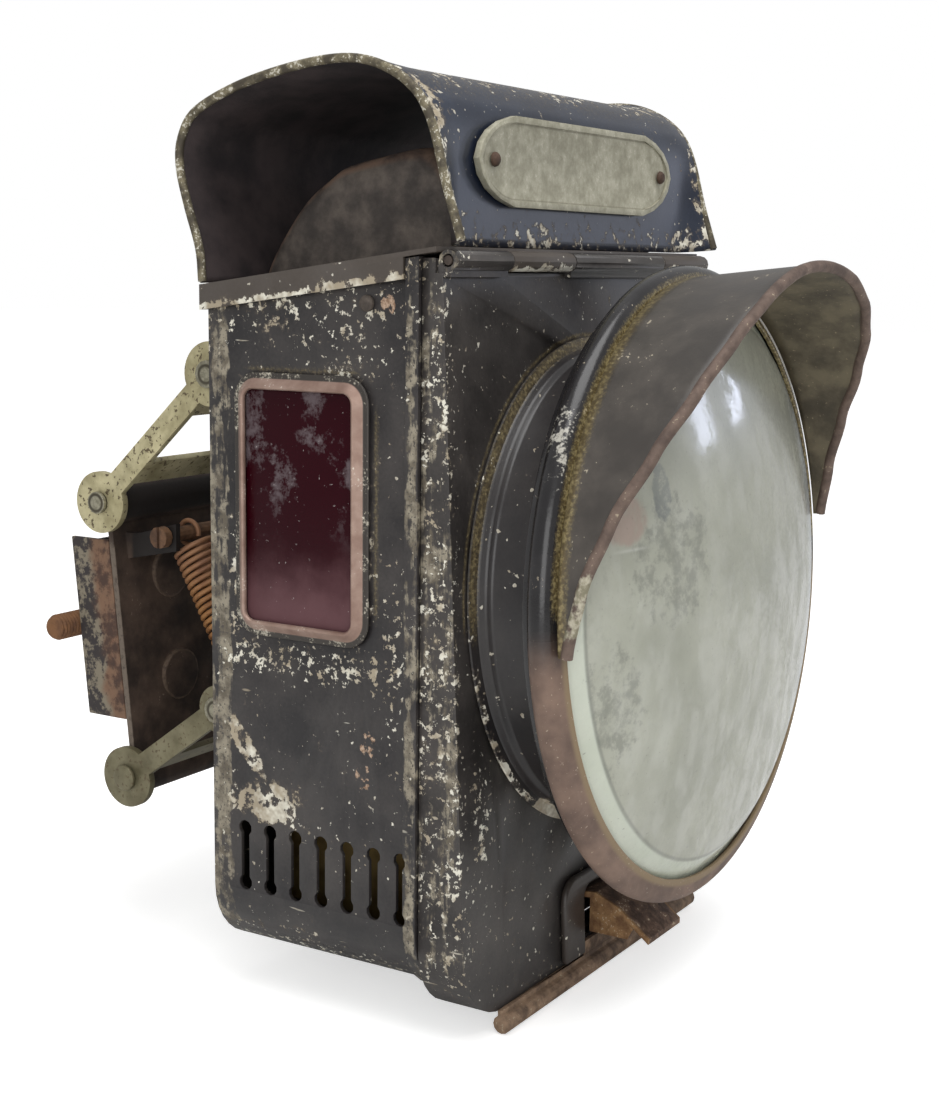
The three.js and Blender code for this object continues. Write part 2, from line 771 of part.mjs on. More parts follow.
function makeDoor() {
  const rear = caseFront - fit;
  const deep = doorFaceY - caseHalfWidth / 2;
  const outer = cut(prismY(caseOutline(0, doorBottom, doorTop), deep, rear), beyondFace(0));
  const inner = cut(prismY(caseOutline(-sheet, doorBottom, doorTop - sheet), deep, rear + overrun),
    beyondFace(sheet));
  const hole = turned([[0, -overrun * 3], [barrelRadius - sheet * 2, -overrun * 3],
    [barrelRadius - sheet * 2, overrun], [0, overrun]], ringSteps);
  const catchHole = block(-catchHoleHalfWidth, catchHoleHalfWidth, deep, rear, catchHoleBottom, catchHoleTop);
  const runs = [[-hingeHalfLength, hingeBreaks[0]], [hingeBreaks[1], hingeBreaks[2]]];
  const leaves = runs.map(([from, to]) => join(knuckle(from, to),
    block(from + fit / 2, to - fit / 2, hingeY - hingeLeafFront, hingeY + hingeLeafBack, hingeZ - hingeLeafDrop,
      hingeZ)));
  const ears = [-caseHalfWidth, caseHalfWidth - sheet].map((from) =>
    block(from, from + sheet, doorEarFront, rear, doorTop - sheet, sillHeight + doorEarRise));
  return cut(join(cut(outer, inner, hole, catchHole), ...leaves, ...ears), hingeBore);
}
place("door_pan", shell(makeDoor()), japan);

// Foot bead: a rolled edge under the door's front corner, with a lip that laps the door's face
function makeFootBead() {
  const beadY = doorFaceAt(doorBottom) - footBeadAhead;
  const half = caseHalfWidth - cornerRadius + footBeadOverhang;
  const lip = (top, from, to) => prismX(polygon([[doorFaceAt(top) - fit, top],
    [doorFaceAt(top) - fit - sheet, top], [beadY, footBeadRadius],
    [doorFaceAt(footBeadRadius) - fit, footBeadRadius]]), from, to);
  const rod = barX(beadY, footBeadRadius, footBeadRadius, -half, half, smallSteps);
  const middle = archHalfWidth - archBand - fit;
  return join(rod, lip(doorBottom + footBeadLap, -half, half), lip(catchHoleBottom, -middle, middle));
}
place("foot_bead", shell(makeFootBead()), rust);

// Raised frame round the catch's opening: an upside-down U pressed onto the door
function makeArch() {
  const low = doorBottom + archFoot;
  const front = doorFaceAt(0) - archRise * 2;
  const band = (side, top, round) => prismY(roundedBox(-archHalfWidth + side, archHalfWidth - side, -archTop,
    archTop - top, round), front - side, doorFaceY + side);
  const below = block(-archHalfWidth * 2, archHalfWidth * 2, front - overrun, 0, -archTop - overrun, low);
  const seat = prismX(polygon([[doorFaceAt(0) - fit, 0], [doorFaceAt(archTop * 2) - fit, archTop * 2],
    [0, archTop * 2], [0, 0]]), -archHalfWidth * 2, archHalfWidth * 2);
  const opening = band(archBand, archTopBand, archRound / 2);
  return cut(band(0, 0, archRound), opening, beyondFace(-archRise - fit), below, seat);
}
place("catch_frame", shell(makeArch()), japan);

// Barrel: spun from the door with a rounded foot, a step out, and a rim that carries the bezel
const bezelInner = bezelRadius - bezelWall;
const bezelShoulder = bezelRadius - bezelBead;
const bezelLip = bezelShoulder - bezelConeInset;
const coneFoot = bezelMiddle + bezelBead;
const coneTop = coneFoot + bezelConeRun;
const coneLength = Math.hypot(bezelConeRun, bezelConeInset);
const wallAcross = sheet * bezelConeRun / coneLength;
const wallAlong = sheet * bezelConeInset / coneLength;
const coneSlope = bezelConeRun / bezelConeInset;
const coneInnerAt = (radius) => coneTop - wallAlong - coneSlope * (radius - bezelLip + wallAcross);
const barrelRim = bezelInner - fit;
const lensRadius = barrelRim - fit;
const lensBack = coneInnerAt(lensRadius) - fit * 2 - lensEdge;
const barrelFront = lensBack - fit;
const barrelInner = barrelRadius - sheet;
const barrelProfile = [
  [barrelInner, fit], [barrelFoot, fit], [barrelFoot, fit + sheet / 2],
  [barrelRadius + barrelFilletRise / 2, fit + barrelFilletRise / 4],
  [barrelRadius + barrelFilletRise / 6, fit + barrelFilletRise / 2], [barrelRadius, fit + barrelFilletRise],
  [barrelRadius, barrelStep - sheet], [barrelRim, barrelStep - sheet], [barrelRim, barrelFront],
  [barrelRim - sheet, barrelFront], [barrelRim - sheet, barrelStep], [barrelInner, barrelStep],
];
place("barrel", shell(turned(barrelProfile, ringSteps)), japan);

// Bezel: a ring with a round bead over the barrel's rim, and a lip that closes in on the lens
const beadSteps = 6;
const beadArc = Array.from({ length: beadSteps + 1 }, (_, k) => {
  const angle = -Math.PI / 2 + Math.PI * k / beadSteps;
  return [bezelShoulder + bezelBead * Math.cos(angle), bezelMiddle + bezelBead * Math.sin(angle)];
});
const bezelProfile = [
  [bezelInner, barrelStep], [bezelShoulder, barrelStep], ...beadArc, [bezelLip, coneTop],
  [bezelLip - wallAcross, coneTop - wallAlong], [bezelInner, coneInnerAt(bezelInner)],
];
place("bezel", shell(turned(bezelProfile, ringSteps)), rust);

// Lens: an edge held under the bezel's lip, a ground bevel, and a bulge
const lensSteps = 5;
const lensSeat = lensBack + lensEdge;
const lensRestFront = lensSeat + coneSlope * lensRest;
const lensInner = lensRadius - lensRest - lensBevelInset;
const lensFront = lensRestFront + lensBevelRise;
const lensProfile = [[0, lensBack], [lensRadius, lensBack], [lensRadius, lensSeat],
  [lensRadius - lensRest, lensRestFront], [lensInner, lensFront]];
for (let k = 1; k <= lensSteps; k++) {
  const share = 1 - k / lensSteps;
  lensProfile.push([lensInner * share, lensFront + lensBulge * (1 - share * share)]);
}
place("lens", shell(turned(lensProfile, ringSteps)), clearGlass);

// Visor: a sheet round the upper half of the bezel, longest at the top, with a rolled front edge
function makeVisor() {
  const visorRadius = bezelShoulder + visorSeat;
  const root = coneFoot + coneSlope * (sheet - visorSeat) + fit * coneLength / bezelConeInset;
  const steps = (visorShares.length - 1) * 2;
  const reachAt = (share) => {
    const spot = Math.min(share, 2 - share) * (visorShares.length - 1);
    const low = Math.min(Math.floor(spot), visorShares.length - 2);
    return visorReach * THREE.MathUtils.lerp(visorShares[low], visorShares[low + 1], spot - low);
  };
  return Array.from({ length: steps * 2 + 1 }, (_, k) => {
    const share = k / steps;
    const angle = visorHalfAngle * (share - 1) + visorTurn;
    const reach = reachAt(share);
    const edge = visorRadius + visorFlare * reach / visorReach;
    const front = root + reach;
    const section = [[visorRadius - sheet, root], [visorRadius, root], [edge, front - visorRoll * 2]];
    for (let s = 0; s <= visorRollSteps; s++) {
      const turn = THREE.MathUtils.lerp(-visorRollStart, Math.PI + visorRollStart, s / visorRollSteps);
      section.push([edge - sheet / 2 + visorRoll * Math.cos(turn),
        front - visorRoll + visorRoll * Math.sin(turn)]);
    }
    section.push([edge - sheet, front - visorRoll * 2]);
    return section.map(([r, d]) => new THREE.Vector3(r * Math.sin(angle), d, -r * Math.cos(angle)));
  });
}
place("visor", shell(solid(ontoDoor(skin(makeVisor(), fromAxis)))), rust);

// Catch: a sprung tongue from a pivot on the floor, out through the door to a folded thumb piece
function makeCatch() {
  const half = catchSheet / 2;
  const line = [[catchPivotY - catchCurl + half, catchPivotZ], [catchStart + catchSheet * 4, catchPivotZ],
    [catchStart - catchSheet, catchCrownZ - catchSheet / 2], [catchCrown, catchCrownZ], [catchBend, catchBendZ],
    [catchTip, catchTipZ]];
  const strip = [...line.map(([y, z]) => [y, z + half]),
    ...line.slice().reverse().map(([y, z]) => [y, z - half])];
  const cheek = polygon([[catchCrown + catchSheet, catchCrownZ], [catchBend, catchBendZ],
    [catchCheekEnd, catchCheekZ + catchSheet * 2], [catchCheekEnd + catchSheet, catchCheekZ],
    [catchCrown + catchSheet, catchCheekZ]]);
  const curl = cut(barX(catchPivotY, catchPivotZ, catchCurl, -catchHalfWidth, catchHalfWidth, smallSteps),
    barX(catchPivotY, catchPivotZ, catchPivotRadius + fit, -caseHalfWidth, caseHalfWidth, smallSteps));
  const cheeks = [-catchHalfWidth, catchHalfWidth - catchSheet]
    .map((from) => prismX(cheek, from, from + catchSheet));
  return join(prismX(polygon(strip), -catchHalfWidth, catchHalfWidth), curl, ...cheeks);
}
place("catch", shell(makeCatch()), rust);

function makeCatchBracket() {
  const floor = caseBottom + sheet + fit;
  const inner = catchHalfWidth + fit;
  const outer = inner + catchEar;
  const base = block(-outer, outer, catchPivotY - catchCurl, catchPivotY + catchCurl, floor, floor + fit * 2);
  const ears = [-1, 1].map((side) => {
    const from = Math.min(side * inner, side * outer);
    return block(from, from + catchEar, catchPivotY - catchCurl, catchPivotY + catchCurl, floor,
      catchPivotZ + catchCurl);
  });
  const pin = barX(catchPivotY, catchPivotZ, catchPivotRadius, -outer + fit, outer - fit, smallSteps);
  return join(base, ...ears, pin);
}
place("catch_bracket", shell(makeCatchBracket()), bareMetal);

// Oil fount on two runners, with its filler cap
function makeFount() {
  const tank = prismZ(roundedBox(-fountHalfWidth, fountHalfWidth, fountFront, fountBack, fountCorner),
    fountLow, fountHigh);
  const runners = [-fountRunnerX, fountRunnerX].map((x) => block(x - fountRunner, x + fountRunner,
    fountFront + fountRunner, fountBack - fountRunner, caseBottom + sheet + fit, fountLow + sheet));
  return join(tank, ...runners);
}
place("fount", shell(makeFount()), brass);
place("filler_cap", shell(join(
  barZ(fountCapX, burnerY, fountCapRadius, fountHigh + fit, fountHigh + fit + fountCapHeight),
  barZ(fountCapX, burnerY, fountCapRadius * fountCapGripShare, fountHigh + fit,
    fountHigh + fit + fountCapHeight + fountCapGripRise))), brass);

// Burner with a flat wick tube, the wick in it, and the winder that runs in from the front
const burnerLow = fountHigh + fit;
const burnerHigh = burnerLow + burnerHeight;
const winderZ = burnerLow + burnerHeight / 2;

function makeBurner() {
  const collar = barZ(0, burnerY, burnerRadius, burnerLow, burnerHigh);
  const neck = barZ(0, burnerY, burnerRadius - burnerNeck / 2, burnerHigh - fit, burnerHigh + burnerNeck);
  const sleeve = block(-wickHalfWidth - wickTubeWall - fit, wickHalfWidth + wickTubeWall + fit,
    burnerY - wickHalfDepth - wickTubeWall - fit, burnerY + wickHalfDepth + wickTubeWall + fit,
    burnerHigh, wickTubeTop);
  const bore = block(-wickHalfWidth - fit, wickHalfWidth + fit, burnerY - wickHalfDepth - fit,
    burnerY + wickHalfDepth + fit, burnerLow - overrun, wickTubeTop + overrun);
  const way = barY(0, winderZ, winderRadius + fit, burnerY - burnerRadius - overrun, burnerY, smallSteps);
  return cut(join(collar, neck, sleeve), bore, way);
}
place("burner", shell(makeBurner()), brass);
place("wick", shell(block(-wickHalfWidth, wickHalfWidth, burnerY - wickHalfDepth, burnerY + wickHalfDepth,
  burnerLow, wickTop)), cotton);
place("wick_winder", shell(join(
  barY(0, winderZ, winderRadius, winderKnobY, burnerY - wickHalfDepth - fit * 2, smallSteps),
  barY(0, winderZ, winderKnob, winderKnobY - winderKnobLength, winderKnobY, smallSteps))), brass);

// Reflector: a silvered dish with a boss that reaches the back wall
function makeReflector() {
  const steps = 4;
  const front = [];
  for (let k = 0; k <= steps; k++) {
    const share = k / steps;
    front.push([reflectorRadius * share, reflectorDepth * share * share]);
  }
  const back = front.slice().reverse().map(([r, d]) => [r, d - sheet]);
  const profile = [...front, ...back].map(([r, d]) => new THREE.Vector2(r, d));
  const dish = solid(new THREE.LatheGeometry(profile, roundSteps).rotateX(Math.PI)
    .translate(0, reflectorY + reflectorDepth, reflectorZ));
  const boss = barY(0, reflectorZ, reflectorBoss, reflectorY + reflectorDepth, caseBack - sheet - fit,
    smallSteps);
  return join(dish, boss);
}
place("reflector", shell(makeReflector()), silvered);

// Link bracket, body side: a plate on the back wall with rolled knuckles for both front pivots
const upperFront = { y: caseBack + upperFrontBehind, z: sillHeight - upperFrontDrop };
const upperRear = { y: upperFront.y + upperLinkBack, z: upperFront.z - upperLinkFall };
const lowerFront = { y: caseBack + lowerFrontBehind, z: caseBottom + lowerFrontRise };
const lowerRear = { y: lowerFront.y + lowerLinkBack, z: lowerFront.z - lowerLinkFall };
const anchorY = upperRear.y - anchorAhead;
const anchorZ = upperRear.z - anchorBelow;
const clampHigh = upperRear.z - clampBelow;
const clampLow = lowerRear.z + clampAbove;
const boltZ = clampLow + (clampHigh - clampLow) * boltRiseShare;

function tube(pivot, radius, bore, runs) {
  return runs.map(([from, to]) => cut(barX(pivot.y, pivot.z, radius, from, to),
    barX(pivot.y, pivot.z, bore, from - overrun, to + overrun, smallSteps)));
}
const tubeHalf = linkHalfWidth - linkSheet - fit;
const hookRuns = [[-tubeHalf, -springX - hookGap / 2], [-springX + hookGap / 2, springX - hookGap / 2],
  [springX + hookGap / 2, tubeHalf]];

function makeWallPlate() {
  const back = caseBack + fit;
  const plate = block(-linkPlateHalfWidth, linkPlateHalfWidth, back, back + linkPlateThickness,
    lowerFront.z - linkPlateMargin, upperFront.z + linkPlateMargin);
  const upper = tube(upperFront, tubeRadius, tubeBore, [[-tubeHalf, tubeHalf]]);
  const lower = tube(lowerFront, smallTubeRadius, tubeBore, hookRuns);
  const bore = barX(upperFront.y, upperFront.z, tubeBore, -caseHalfWidth, caseHalfWidth, smallSteps);
  const root = cut(block(-linkPlateHalfWidth, linkPlateHalfWidth, back, upperFront.y,
    upperFront.z - tubeRadius, upperFront.z - tubeBore), bore);
  return join(plate, root, ...upper, ...lower);
}
place("wall_plate", shell(makeWallPlate()), japan);

function pinX(name, pivot, half, head, radius, material) {
  const shaft = barX(pivot.y, pivot.z, radius, -half, half, smallSteps);
  const heads = [-1, 1].map((side) => {
    const from = side < 0 ? -half - linkPinHead : half;
    return barX(pivot.y, pivot.z, head, from, from + linkPinHead, smallSteps);
  });
  place(name, shell(join(shaft, ...heads)), material);
}
const pinHalf = linkHalfWidth + fit;
pinX("upper_front_pin", upperFront, pinHalf, linkPinRadius + linkPinHead, linkPinRadius, bareMetal);
pinX("lower_front_pin", lowerFront, pinHalf, linkPinRadius + linkPinHead, linkPinRadius, bareMetal);
pinX("upper_rear_pin", upperRear, pinHalf, linkPinRadius + linkPinHead / 2, linkPinRadius, bareMetal);
pinX("lower_rear_pin", lowerRear, pinHalf, linkPinRadius + linkPinHead, openPinRadius, bareMetal);

// Links: two arms with round ends, held apart by webs along their lower edge
function makeLink(front, rear, webs, frontDisc, frontBore, rearBore) {
  const along = new THREE.Vector2(front.y - rear.y, front.z - rear.z);
  const long = along.length();
  along.normalize();
  const across = new THREE.Vector2(-along.y, along.x);
  const at = (a, b) => [rear.y + along.x * a + across.x * b, rear.z + along.y * a + across.y * b];
  const half = armWidth / 2;
  const bar = polygon([at(0, -half), at(long, -half), at(long, half), at(0, half)]);
  const arms = [-linkHalfWidth, linkHalfWidth - linkSheet].map((from) => join(
    prismX(bar, from, from + linkSheet),
    barX(rear.y, rear.z, discRadius, from, from + linkSheet),
    barX(front.y, front.z, frontDisc, from, from + linkSheet)));
  const below = across.y > 0 ? -1 : 1;
  const inner = linkHalfWidth - linkSheet / 2;
  const edge = below * half;
  const rise = below * (half - linkWeb);
  const strips = webs.map(({ from, to }) =>
    prismX(polygon([at(from, edge), at(to, edge), at(to, rise), at(from, rise)]), -inner, inner));
  const reach = linkHalfWidth + overrun;
  return cut(join(...arms, ...strips), barX(front.y, front.z, frontBore, -reach, reach, smallSteps),
    barX(rear.y, rear.z, rearBore, -reach, reach, smallSteps));
}
place("upper_link", shell(makeLink(upperFront, upperRear, [upperWeb, upperFrontWeb],
  discRadius, linkPinRadius + fit, linkPinRadius + fit)), nickel);
place("lower_link", shell(makeLink(lowerFront, lowerRear, [lowerWeb],
  lowerFrontDisc, linkPinRadius + fit, openPinRadius + openPivotClearance)), nickel);

// Rear plate: hangs between the rear pivots, with a rolled knuckle at each end and ears for the anchor rod
const rearLean = (upperRear.y - lowerRear.y) / (upperRear.z - lowerRear.z);
const rearPlateAt = (z) => lowerRear.y + (z - lowerRear.z) * rearLean - plateOffset;

function leaningSlab(front, back, low, high, from, to) {
  return prismX(polygon([[rearPlateAt(low) + front, low], [rearPlateAt(high) + front, high],
    [rearPlateAt(high) + back, high], [rearPlateAt(low) + back, low]]), from, to);
}

function makeRearPlate() {
  const half = linkPlateHalfWidth;
  const slab = leaningSlab(0, rearPlateSheet, lowerRear.z + openTubeBore + fit, upperRear.z - tubeBore - fit,
    -half, half);
  const upper = tube(upperRear, tubeRadius, tubeBore, [[-tubeHalf, tubeHalf]]);
  const lower = tube(lowerRear, smallTubeRadius, openTubeBore, [[-tubeHalf, tubeHalf]]);
  const rounds = [];
  for (const side of [-1, 1]) {
    for (const z of [upperRear.z - embossBelow, lowerRear.z + embossAbove]) {
      rounds.push(barY(side * embossX, z, embossRadius, rearPlateAt(z) - embossRise, rearPlateAt(z) + fit));
    }
  }
  const ears = [-1, 1].map((side) => {
    const from = side * anchorEarX - anchorEar / 2;
    const ear = polygon([[anchorY - anchorEarHalf, anchorZ + anchorEarHalf], [anchorY - anchorEarHalf,
      anchorZ - anchorEarHalf], [rearPlateAt(anchorZ) + fit, anchorZ - anchorEarHalf * 2],
    [rearPlateAt(anchorZ) + fit, anchorZ], [upperRear.y - tubeRadius, anchorZ]]);
    return prismX(ear, from, from + anchorEar);
  });
  const hole = barX(anchorY, anchorZ, anchorRadius + fit, -half, half, smallSteps);
  const bores = [barX(upperRear.y, upperRear.z, tubeBore, -half * 2, half * 2, smallSteps),
    barX(lowerRear.y, lowerRear.z, openTubeBore, -half * 2, half * 2, smallSteps)];
  return cut(join(slab, ...upper, ...lower, ...rounds, ...ears), hole, ...bores);
}
place("rear_plate", shell(makeRearPlate()), japan);

// Clamp box behind the rear plate: side walls, back walls either side of a slot, and two bolt lugs
function makeClampBox() {
  const half = linkPlateHalfWidth;
  const near = rearPlateSheet + fit;
  const body = leaningSlab(near, clampDepth, clampLow, clampHigh, -half, half);
  const room = leaningSlab(near - overrun, clampDepth + overrun, clampLow - overrun, clampHigh + overrun,
    -half + clampSheet, half - clampSheet);
  const back = leaningSlab(clampWallDepth - clampSheet, clampWallDepth, clampLow, clampHigh,
    -half + clampSheet / 2, half - clampSheet / 2);
  const slot = leaningSlab(near, clampDepth, clampLow - overrun, clampHigh + overrun, -clampSlotHalf,
    clampSlotHalf);
  const tie = leaningSlab(near, near + clampSheet, clampLow, clampHigh, -half + clampSheet / 2,
    half - clampSheet / 2);
  const lugs = [-lugX, lugX - lugThickness].map((from) => prismX(lugOutline(clampWallDepth - clampSheet / 2),
    from, from + lugThickness));
  const way = barX(boltY, boltZ, boltRadius + fit, -lugX - overrun, lugX + overrun, smallSteps);
  return cut(join(cut(body, room), cut(back, slot), tie, ...lugs), way);
}

// Outline of a lug, from a line behind the leaning plate to the lamp's rear end.
function lugOutline(near) {
  const low = boltZ - jawHalfHeight;
  const high = boltZ + jawHalfHeight;
  return polygon([[rearPlateAt(low) + near, low], [rearPlateAt(high) + near, high], [lugBack, high],
    [lugBack, low]]);
}
place("clamp_box", shell(makeClampBox()), japan);

// Clamp bolt along X through the lugs, grooved at its left end, with its nut and the jaw it draws in
function makeBolt() {
  const outer = -linkPlateHalfWidth - boltReach;
  const inner = lugX + nutLength + fit * 2;
  const [rise, crest, fall] = boltGrooveShares;
  const points = [[0, outer], [boltRadius - boltGroove, outer]];
  for (let k = 0; k < boltGrooveCount; k++) {
    const at = outer + boltGroovePitch * k;
    points.push([boltRadius, at + boltGroovePitch * rise], [boltRadius, at + boltGroovePitch * crest],
      [boltRadius - boltGroove, at + boltGroovePitch * fall]);
  }
  const plain = outer + boltGroovePitch * (boltGrooveCount + rise);
  points.push([boltRadius, plain], [boltRadius, inner], [0, inner]);
  const profile = points.map(([r, x]) => new THREE.Vector2(r, x));
  return solid(new THREE.LatheGeometry(profile, smallSteps).rotateZ(-Math.PI / 2).translate(0, boltY, boltZ));
}
place("clamp_bolt", shell(makeBolt()), springRust);
place("clamp_nut", shell(cut(barX(boltY, boltZ, nutRadius, lugX + fit, lugX + fit + nutLength, nutSides),
  barX(boltY, boltZ, boltRadius + fit, 0, linkHalfWidth, smallSteps))), rust);
const jawFrom = -lugX + lugThickness + fit;
place("clamp_jaw", shell(cut(prismX(lugOutline(clampWallDepth + fit), jawFrom, jawFrom + jawThickness),
  barX(boltY, boltZ, boltRadius + fit, -linkHalfWidth, 0, smallSteps))), rust);

// Anchor rod through the ears, with a slotted round head on the left
function makeAnchor() {
  const end = anchorEarX + anchorEar / 2 + fit;
  const rod = barX(anchorY, anchorZ, anchorRadius, -end, end, smallSteps);
  const head = barX(anchorY, anchorZ, anchorHeadRadius, -end - anchorHeadLength, -end, smallSteps);
  const tail = barX(anchorY, anchorZ, anchorRadius + anchorSlot, end, end + anchorHeadLength / 2, smallSteps);
  const slot = block(-end - anchorHeadLength - overrun, -end - anchorHeadLength / 2, anchorY - anchorSlot / 2,
    anchorY + anchorSlot / 2, anchorZ - anchorHeadRadius * 2, anchorZ + anchorHeadRadius * 2);
  return cut(join(rod, head, tail), slot);
}
place("anchor_rod", shell(makeAnchor()), rust);

// Springs: one unbroken wire each, hooked round the anchor rod above and the lower front pin below
function springLine(x) {
  const high = new THREE.Vector2(anchorY, anchorZ);
  const low = new THREE.Vector2(lowerFront.y, lowerFront.z);
  const down = low.clone().sub(high);
  const span = down.length();
  down.normalize();
  const side = new THREE.Vector2(-down.y, down.x);
  const at = (s, across, out) => new THREE.Vector3(x + out, high.x + down.x * s + side.x * across,
    high.y + down.y * s + side.y * across);
  const highHook = anchorRadius + hookFit + springWire / 2;
  const lowHook = linkPinRadius + hookFit + springWire / 2;
  const coil = span - 2 * springRadius;
  const total = Math.round(coil / springPitch) * springCoilSteps;
  const hook = Math.PI * 2 * springHookShare;
  const points = [];
  for (let k = 0; k < springHookSteps; k++) {
    const angle = hook * (1 - k / springHookSteps);
    points.push(at(highHook * Math.cos(angle), highHook * Math.sin(angle), 0));
  }
  for (let k = 0; k <= total; k++) {
    const angle = Math.PI * 2 * k / springCoilSteps;
    const across = springRadius * Math.cos(angle);
    points.push(at(springRadius + coil * k / total, across, springRadius * Math.sin(angle)));
  }
  for (let k = 1; k <= springHookSteps; k++) {
    const angle = Math.PI - hook * k / springHookSteps;
    points.push(at(span + lowHook * Math.cos(angle), lowHook * Math.sin(angle), 0));
  }
  return points;
}

// A round wire along a line of points.
function wire(points, radius) {
  const sides = springSides;
  const rings = [];
  let up = new THREE.Vector3(0, 0, 1);
  points.forEach((point, k) => {
    const before = points[Math.max(k - 1, 0)];
    const after = points[Math.min(k + 1, points.length - 1)];
    const along = after.clone().sub(before).normalize();
    up = up.clone().addScaledVector(along, -up.dot(along)).normalize();
    const right = along.clone().cross(up);
    for (let s = 0; s < sides; s++) {
      const angle = Math.PI * 2 * s / sides;
      rings.push(point.clone().addScaledVector(up, radius * Math.cos(angle))
        .addScaledVector(right, radius * Math.sin(angle)));
    }
  });
  const index = [];
  for (let k = 0; k + 1 < points.length; k++) {
    for (let s = 0; s < sides; s++) {
      const a = k * sides + s;
      const b = k * sides + (s + 1) % sides;
      index.push(a, b, b + sides, a, b + sides, a + sides);
    }
  }
  const last = (points.length - 1) * sides;
  for (let s = 1; s + 1 < sides; s++) {
    index.push(0, s + 1, s, last, last + s, last + s + 1);
  }
  const geometry = new THREE.BufferGeometry().setFromPoints(rings);
  geometry.setIndex(index);
  return geometry;
}

// Least gap of a wire to itself, between points that lie well apart along it.
function leastGap(points, radius) {
  const apart = 5;
  let least = Infinity;
  for (let a = 0; a < points.length; a++) {
    for (let b = a + apart; b < points.length; b++) {
      least = Math.min(least, points[a].distanceTo(points[b]));
    }
  }
  return least - radius * 2;
}

for (const [side, word] of [[-1, "left"], [1, "right"]]) {
  const line = springLine(side * springX);
  console.log(`spring ${word}: least gap to itself ${leastGap(line, springWire / 2).toFixed(2)} mm`);
  place(`spring_${word}`, shell(solid(wire(line, springWire / 2))), springRust);
}

// The origin lies under the middle of the lamp's box, on the surface it stands on.
lamp.position.y = -originBehind;

export default lamp;
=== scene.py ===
import math

import bmesh
import bpy
from mathutils import Matrix, Vector


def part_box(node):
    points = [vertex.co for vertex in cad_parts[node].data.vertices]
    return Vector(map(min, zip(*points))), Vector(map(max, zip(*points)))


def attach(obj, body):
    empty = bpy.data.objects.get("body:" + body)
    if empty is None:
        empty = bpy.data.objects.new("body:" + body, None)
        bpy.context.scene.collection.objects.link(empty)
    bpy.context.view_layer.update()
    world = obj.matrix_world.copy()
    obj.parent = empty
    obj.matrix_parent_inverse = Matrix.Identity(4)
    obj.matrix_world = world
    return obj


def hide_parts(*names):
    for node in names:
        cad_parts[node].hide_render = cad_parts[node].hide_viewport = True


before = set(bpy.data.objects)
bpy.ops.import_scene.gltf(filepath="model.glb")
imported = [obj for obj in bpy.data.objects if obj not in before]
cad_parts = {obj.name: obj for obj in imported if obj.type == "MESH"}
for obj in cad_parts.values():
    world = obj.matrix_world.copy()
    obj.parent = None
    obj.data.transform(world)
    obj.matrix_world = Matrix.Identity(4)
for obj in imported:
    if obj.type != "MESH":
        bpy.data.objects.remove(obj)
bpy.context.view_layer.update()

# The view: a portrait lens at the lamp's left front, a little above the middle of the case, in a white room.
# One broad lamp hangs overhead and a weaker one stands at the left. Two small cool ones, far off to the
# right, are the panes of a window that glints in the lens.
eye = Vector((-0.3198, -0.19725, 0.1448))
eye_right = Vector((0.52447, -0.85136, 0.01096)).normalized()
eye_up = Vector((0.12783, 0.09146, 0.98757)).normalized()
camera_data = bpy.data.cameras.new("camera")
camera_data.lens = 58.12
camera_data.clip_start = 0.01
camera = bpy.data.objects.new("camera", camera_data)
turn = Matrix((eye_right, eye_up, eye_right.cross(eye_up))).transposed().to_4x4()
camera.matrix_world = Matrix.Translation(eye) @ turn
bpy.context.scene.collection.objects.link(camera)
bpy.context.scene.camera = camera
bpy.context.scene.view_settings.view_transform = "Standard"


def softbox(name, place, aim, size, watts, tint=(1, 1, 1)):
    """A square lamp that looks from its place at a point on the object."""
    light = bpy.data.lights.new(name, "AREA")
    light.size = size
    light.energy = watts
    light.color = tint
    holder = bpy.data.objects.new(name, light)
    look = (Vector(aim) - Vector(place)).to_track_quat("-Z", "Y")
    holder.matrix_world = Matrix.Translation(place) @ look.to_matrix().to_4x4()
    bpy.context.scene.collection.objects.link(holder)


softbox("overhead_lamp", (-0.15, -0.25, 0.95), (0, 0, 0.08), 0.7, 5.5)
softbox("left_lamp", (-0.9, -0.5, 0.35), (0, 0, 0.08), 0.6, 3.0)
softbox("window_near", (0.71, -0.52, 0.235), (-0.012, -0.064, 0.114), 0.085, 0.15, (0.74, 0.8, 1))
softbox("window_far", (0.75, -0.36, 0.225), (0.009, -0.064, 0.112), 0.07, 0.1, (0.74, 0.8, 1))


class Wire:
    """An output of a node, on which shader maths is written as Python expressions."""

    def __init__(self, finish, socket):
        self.finish = finish
        self.socket = socket

    def apply(self, operation, *others):
        """The Math node of an operation on this value and the others."""
        return self.finish.add("ShaderNodeMath", {"operation": operation}, dict(enumerate((self, *others))))

    def __add__(self, other):
        return self.apply("ADD", other)

    def __mul__(self, other):
        return self.apply("MULTIPLY", other)

    def __sub__(self, other):
        return self.apply("SUBTRACT", other)

    def __rsub__(self, other):
        return self.finish.add("ShaderNodeMath", {"operation": "SUBTRACT"}, {0: other, 1: self})

    __radd__ = __add__
    __rmul__ = __mul__

    def over(self, edge, soft):
        """1 where the value is well over the edge and 0 where it is well under it."""
        limits = {"Value": self, "From Min": edge - soft, "From Max": edge + soft}
        return self.finish.add("ShaderNodeMapRange", {"interpolation_type": "SMOOTHSTEP"}, limits)

    def near(self, middle, half, soft):
        """1 within a half width of the middle and 0 well away from it."""
        return 1 - (self - middle).apply("ABSOLUTE").over(half, soft)

    def most(self, other):
        return self.apply("MAXIMUM", other)

    def radius_with(self, other):
        """How far out a point is, from its distances in two directions."""
        return (self * self + other * other).apply("SQRT")


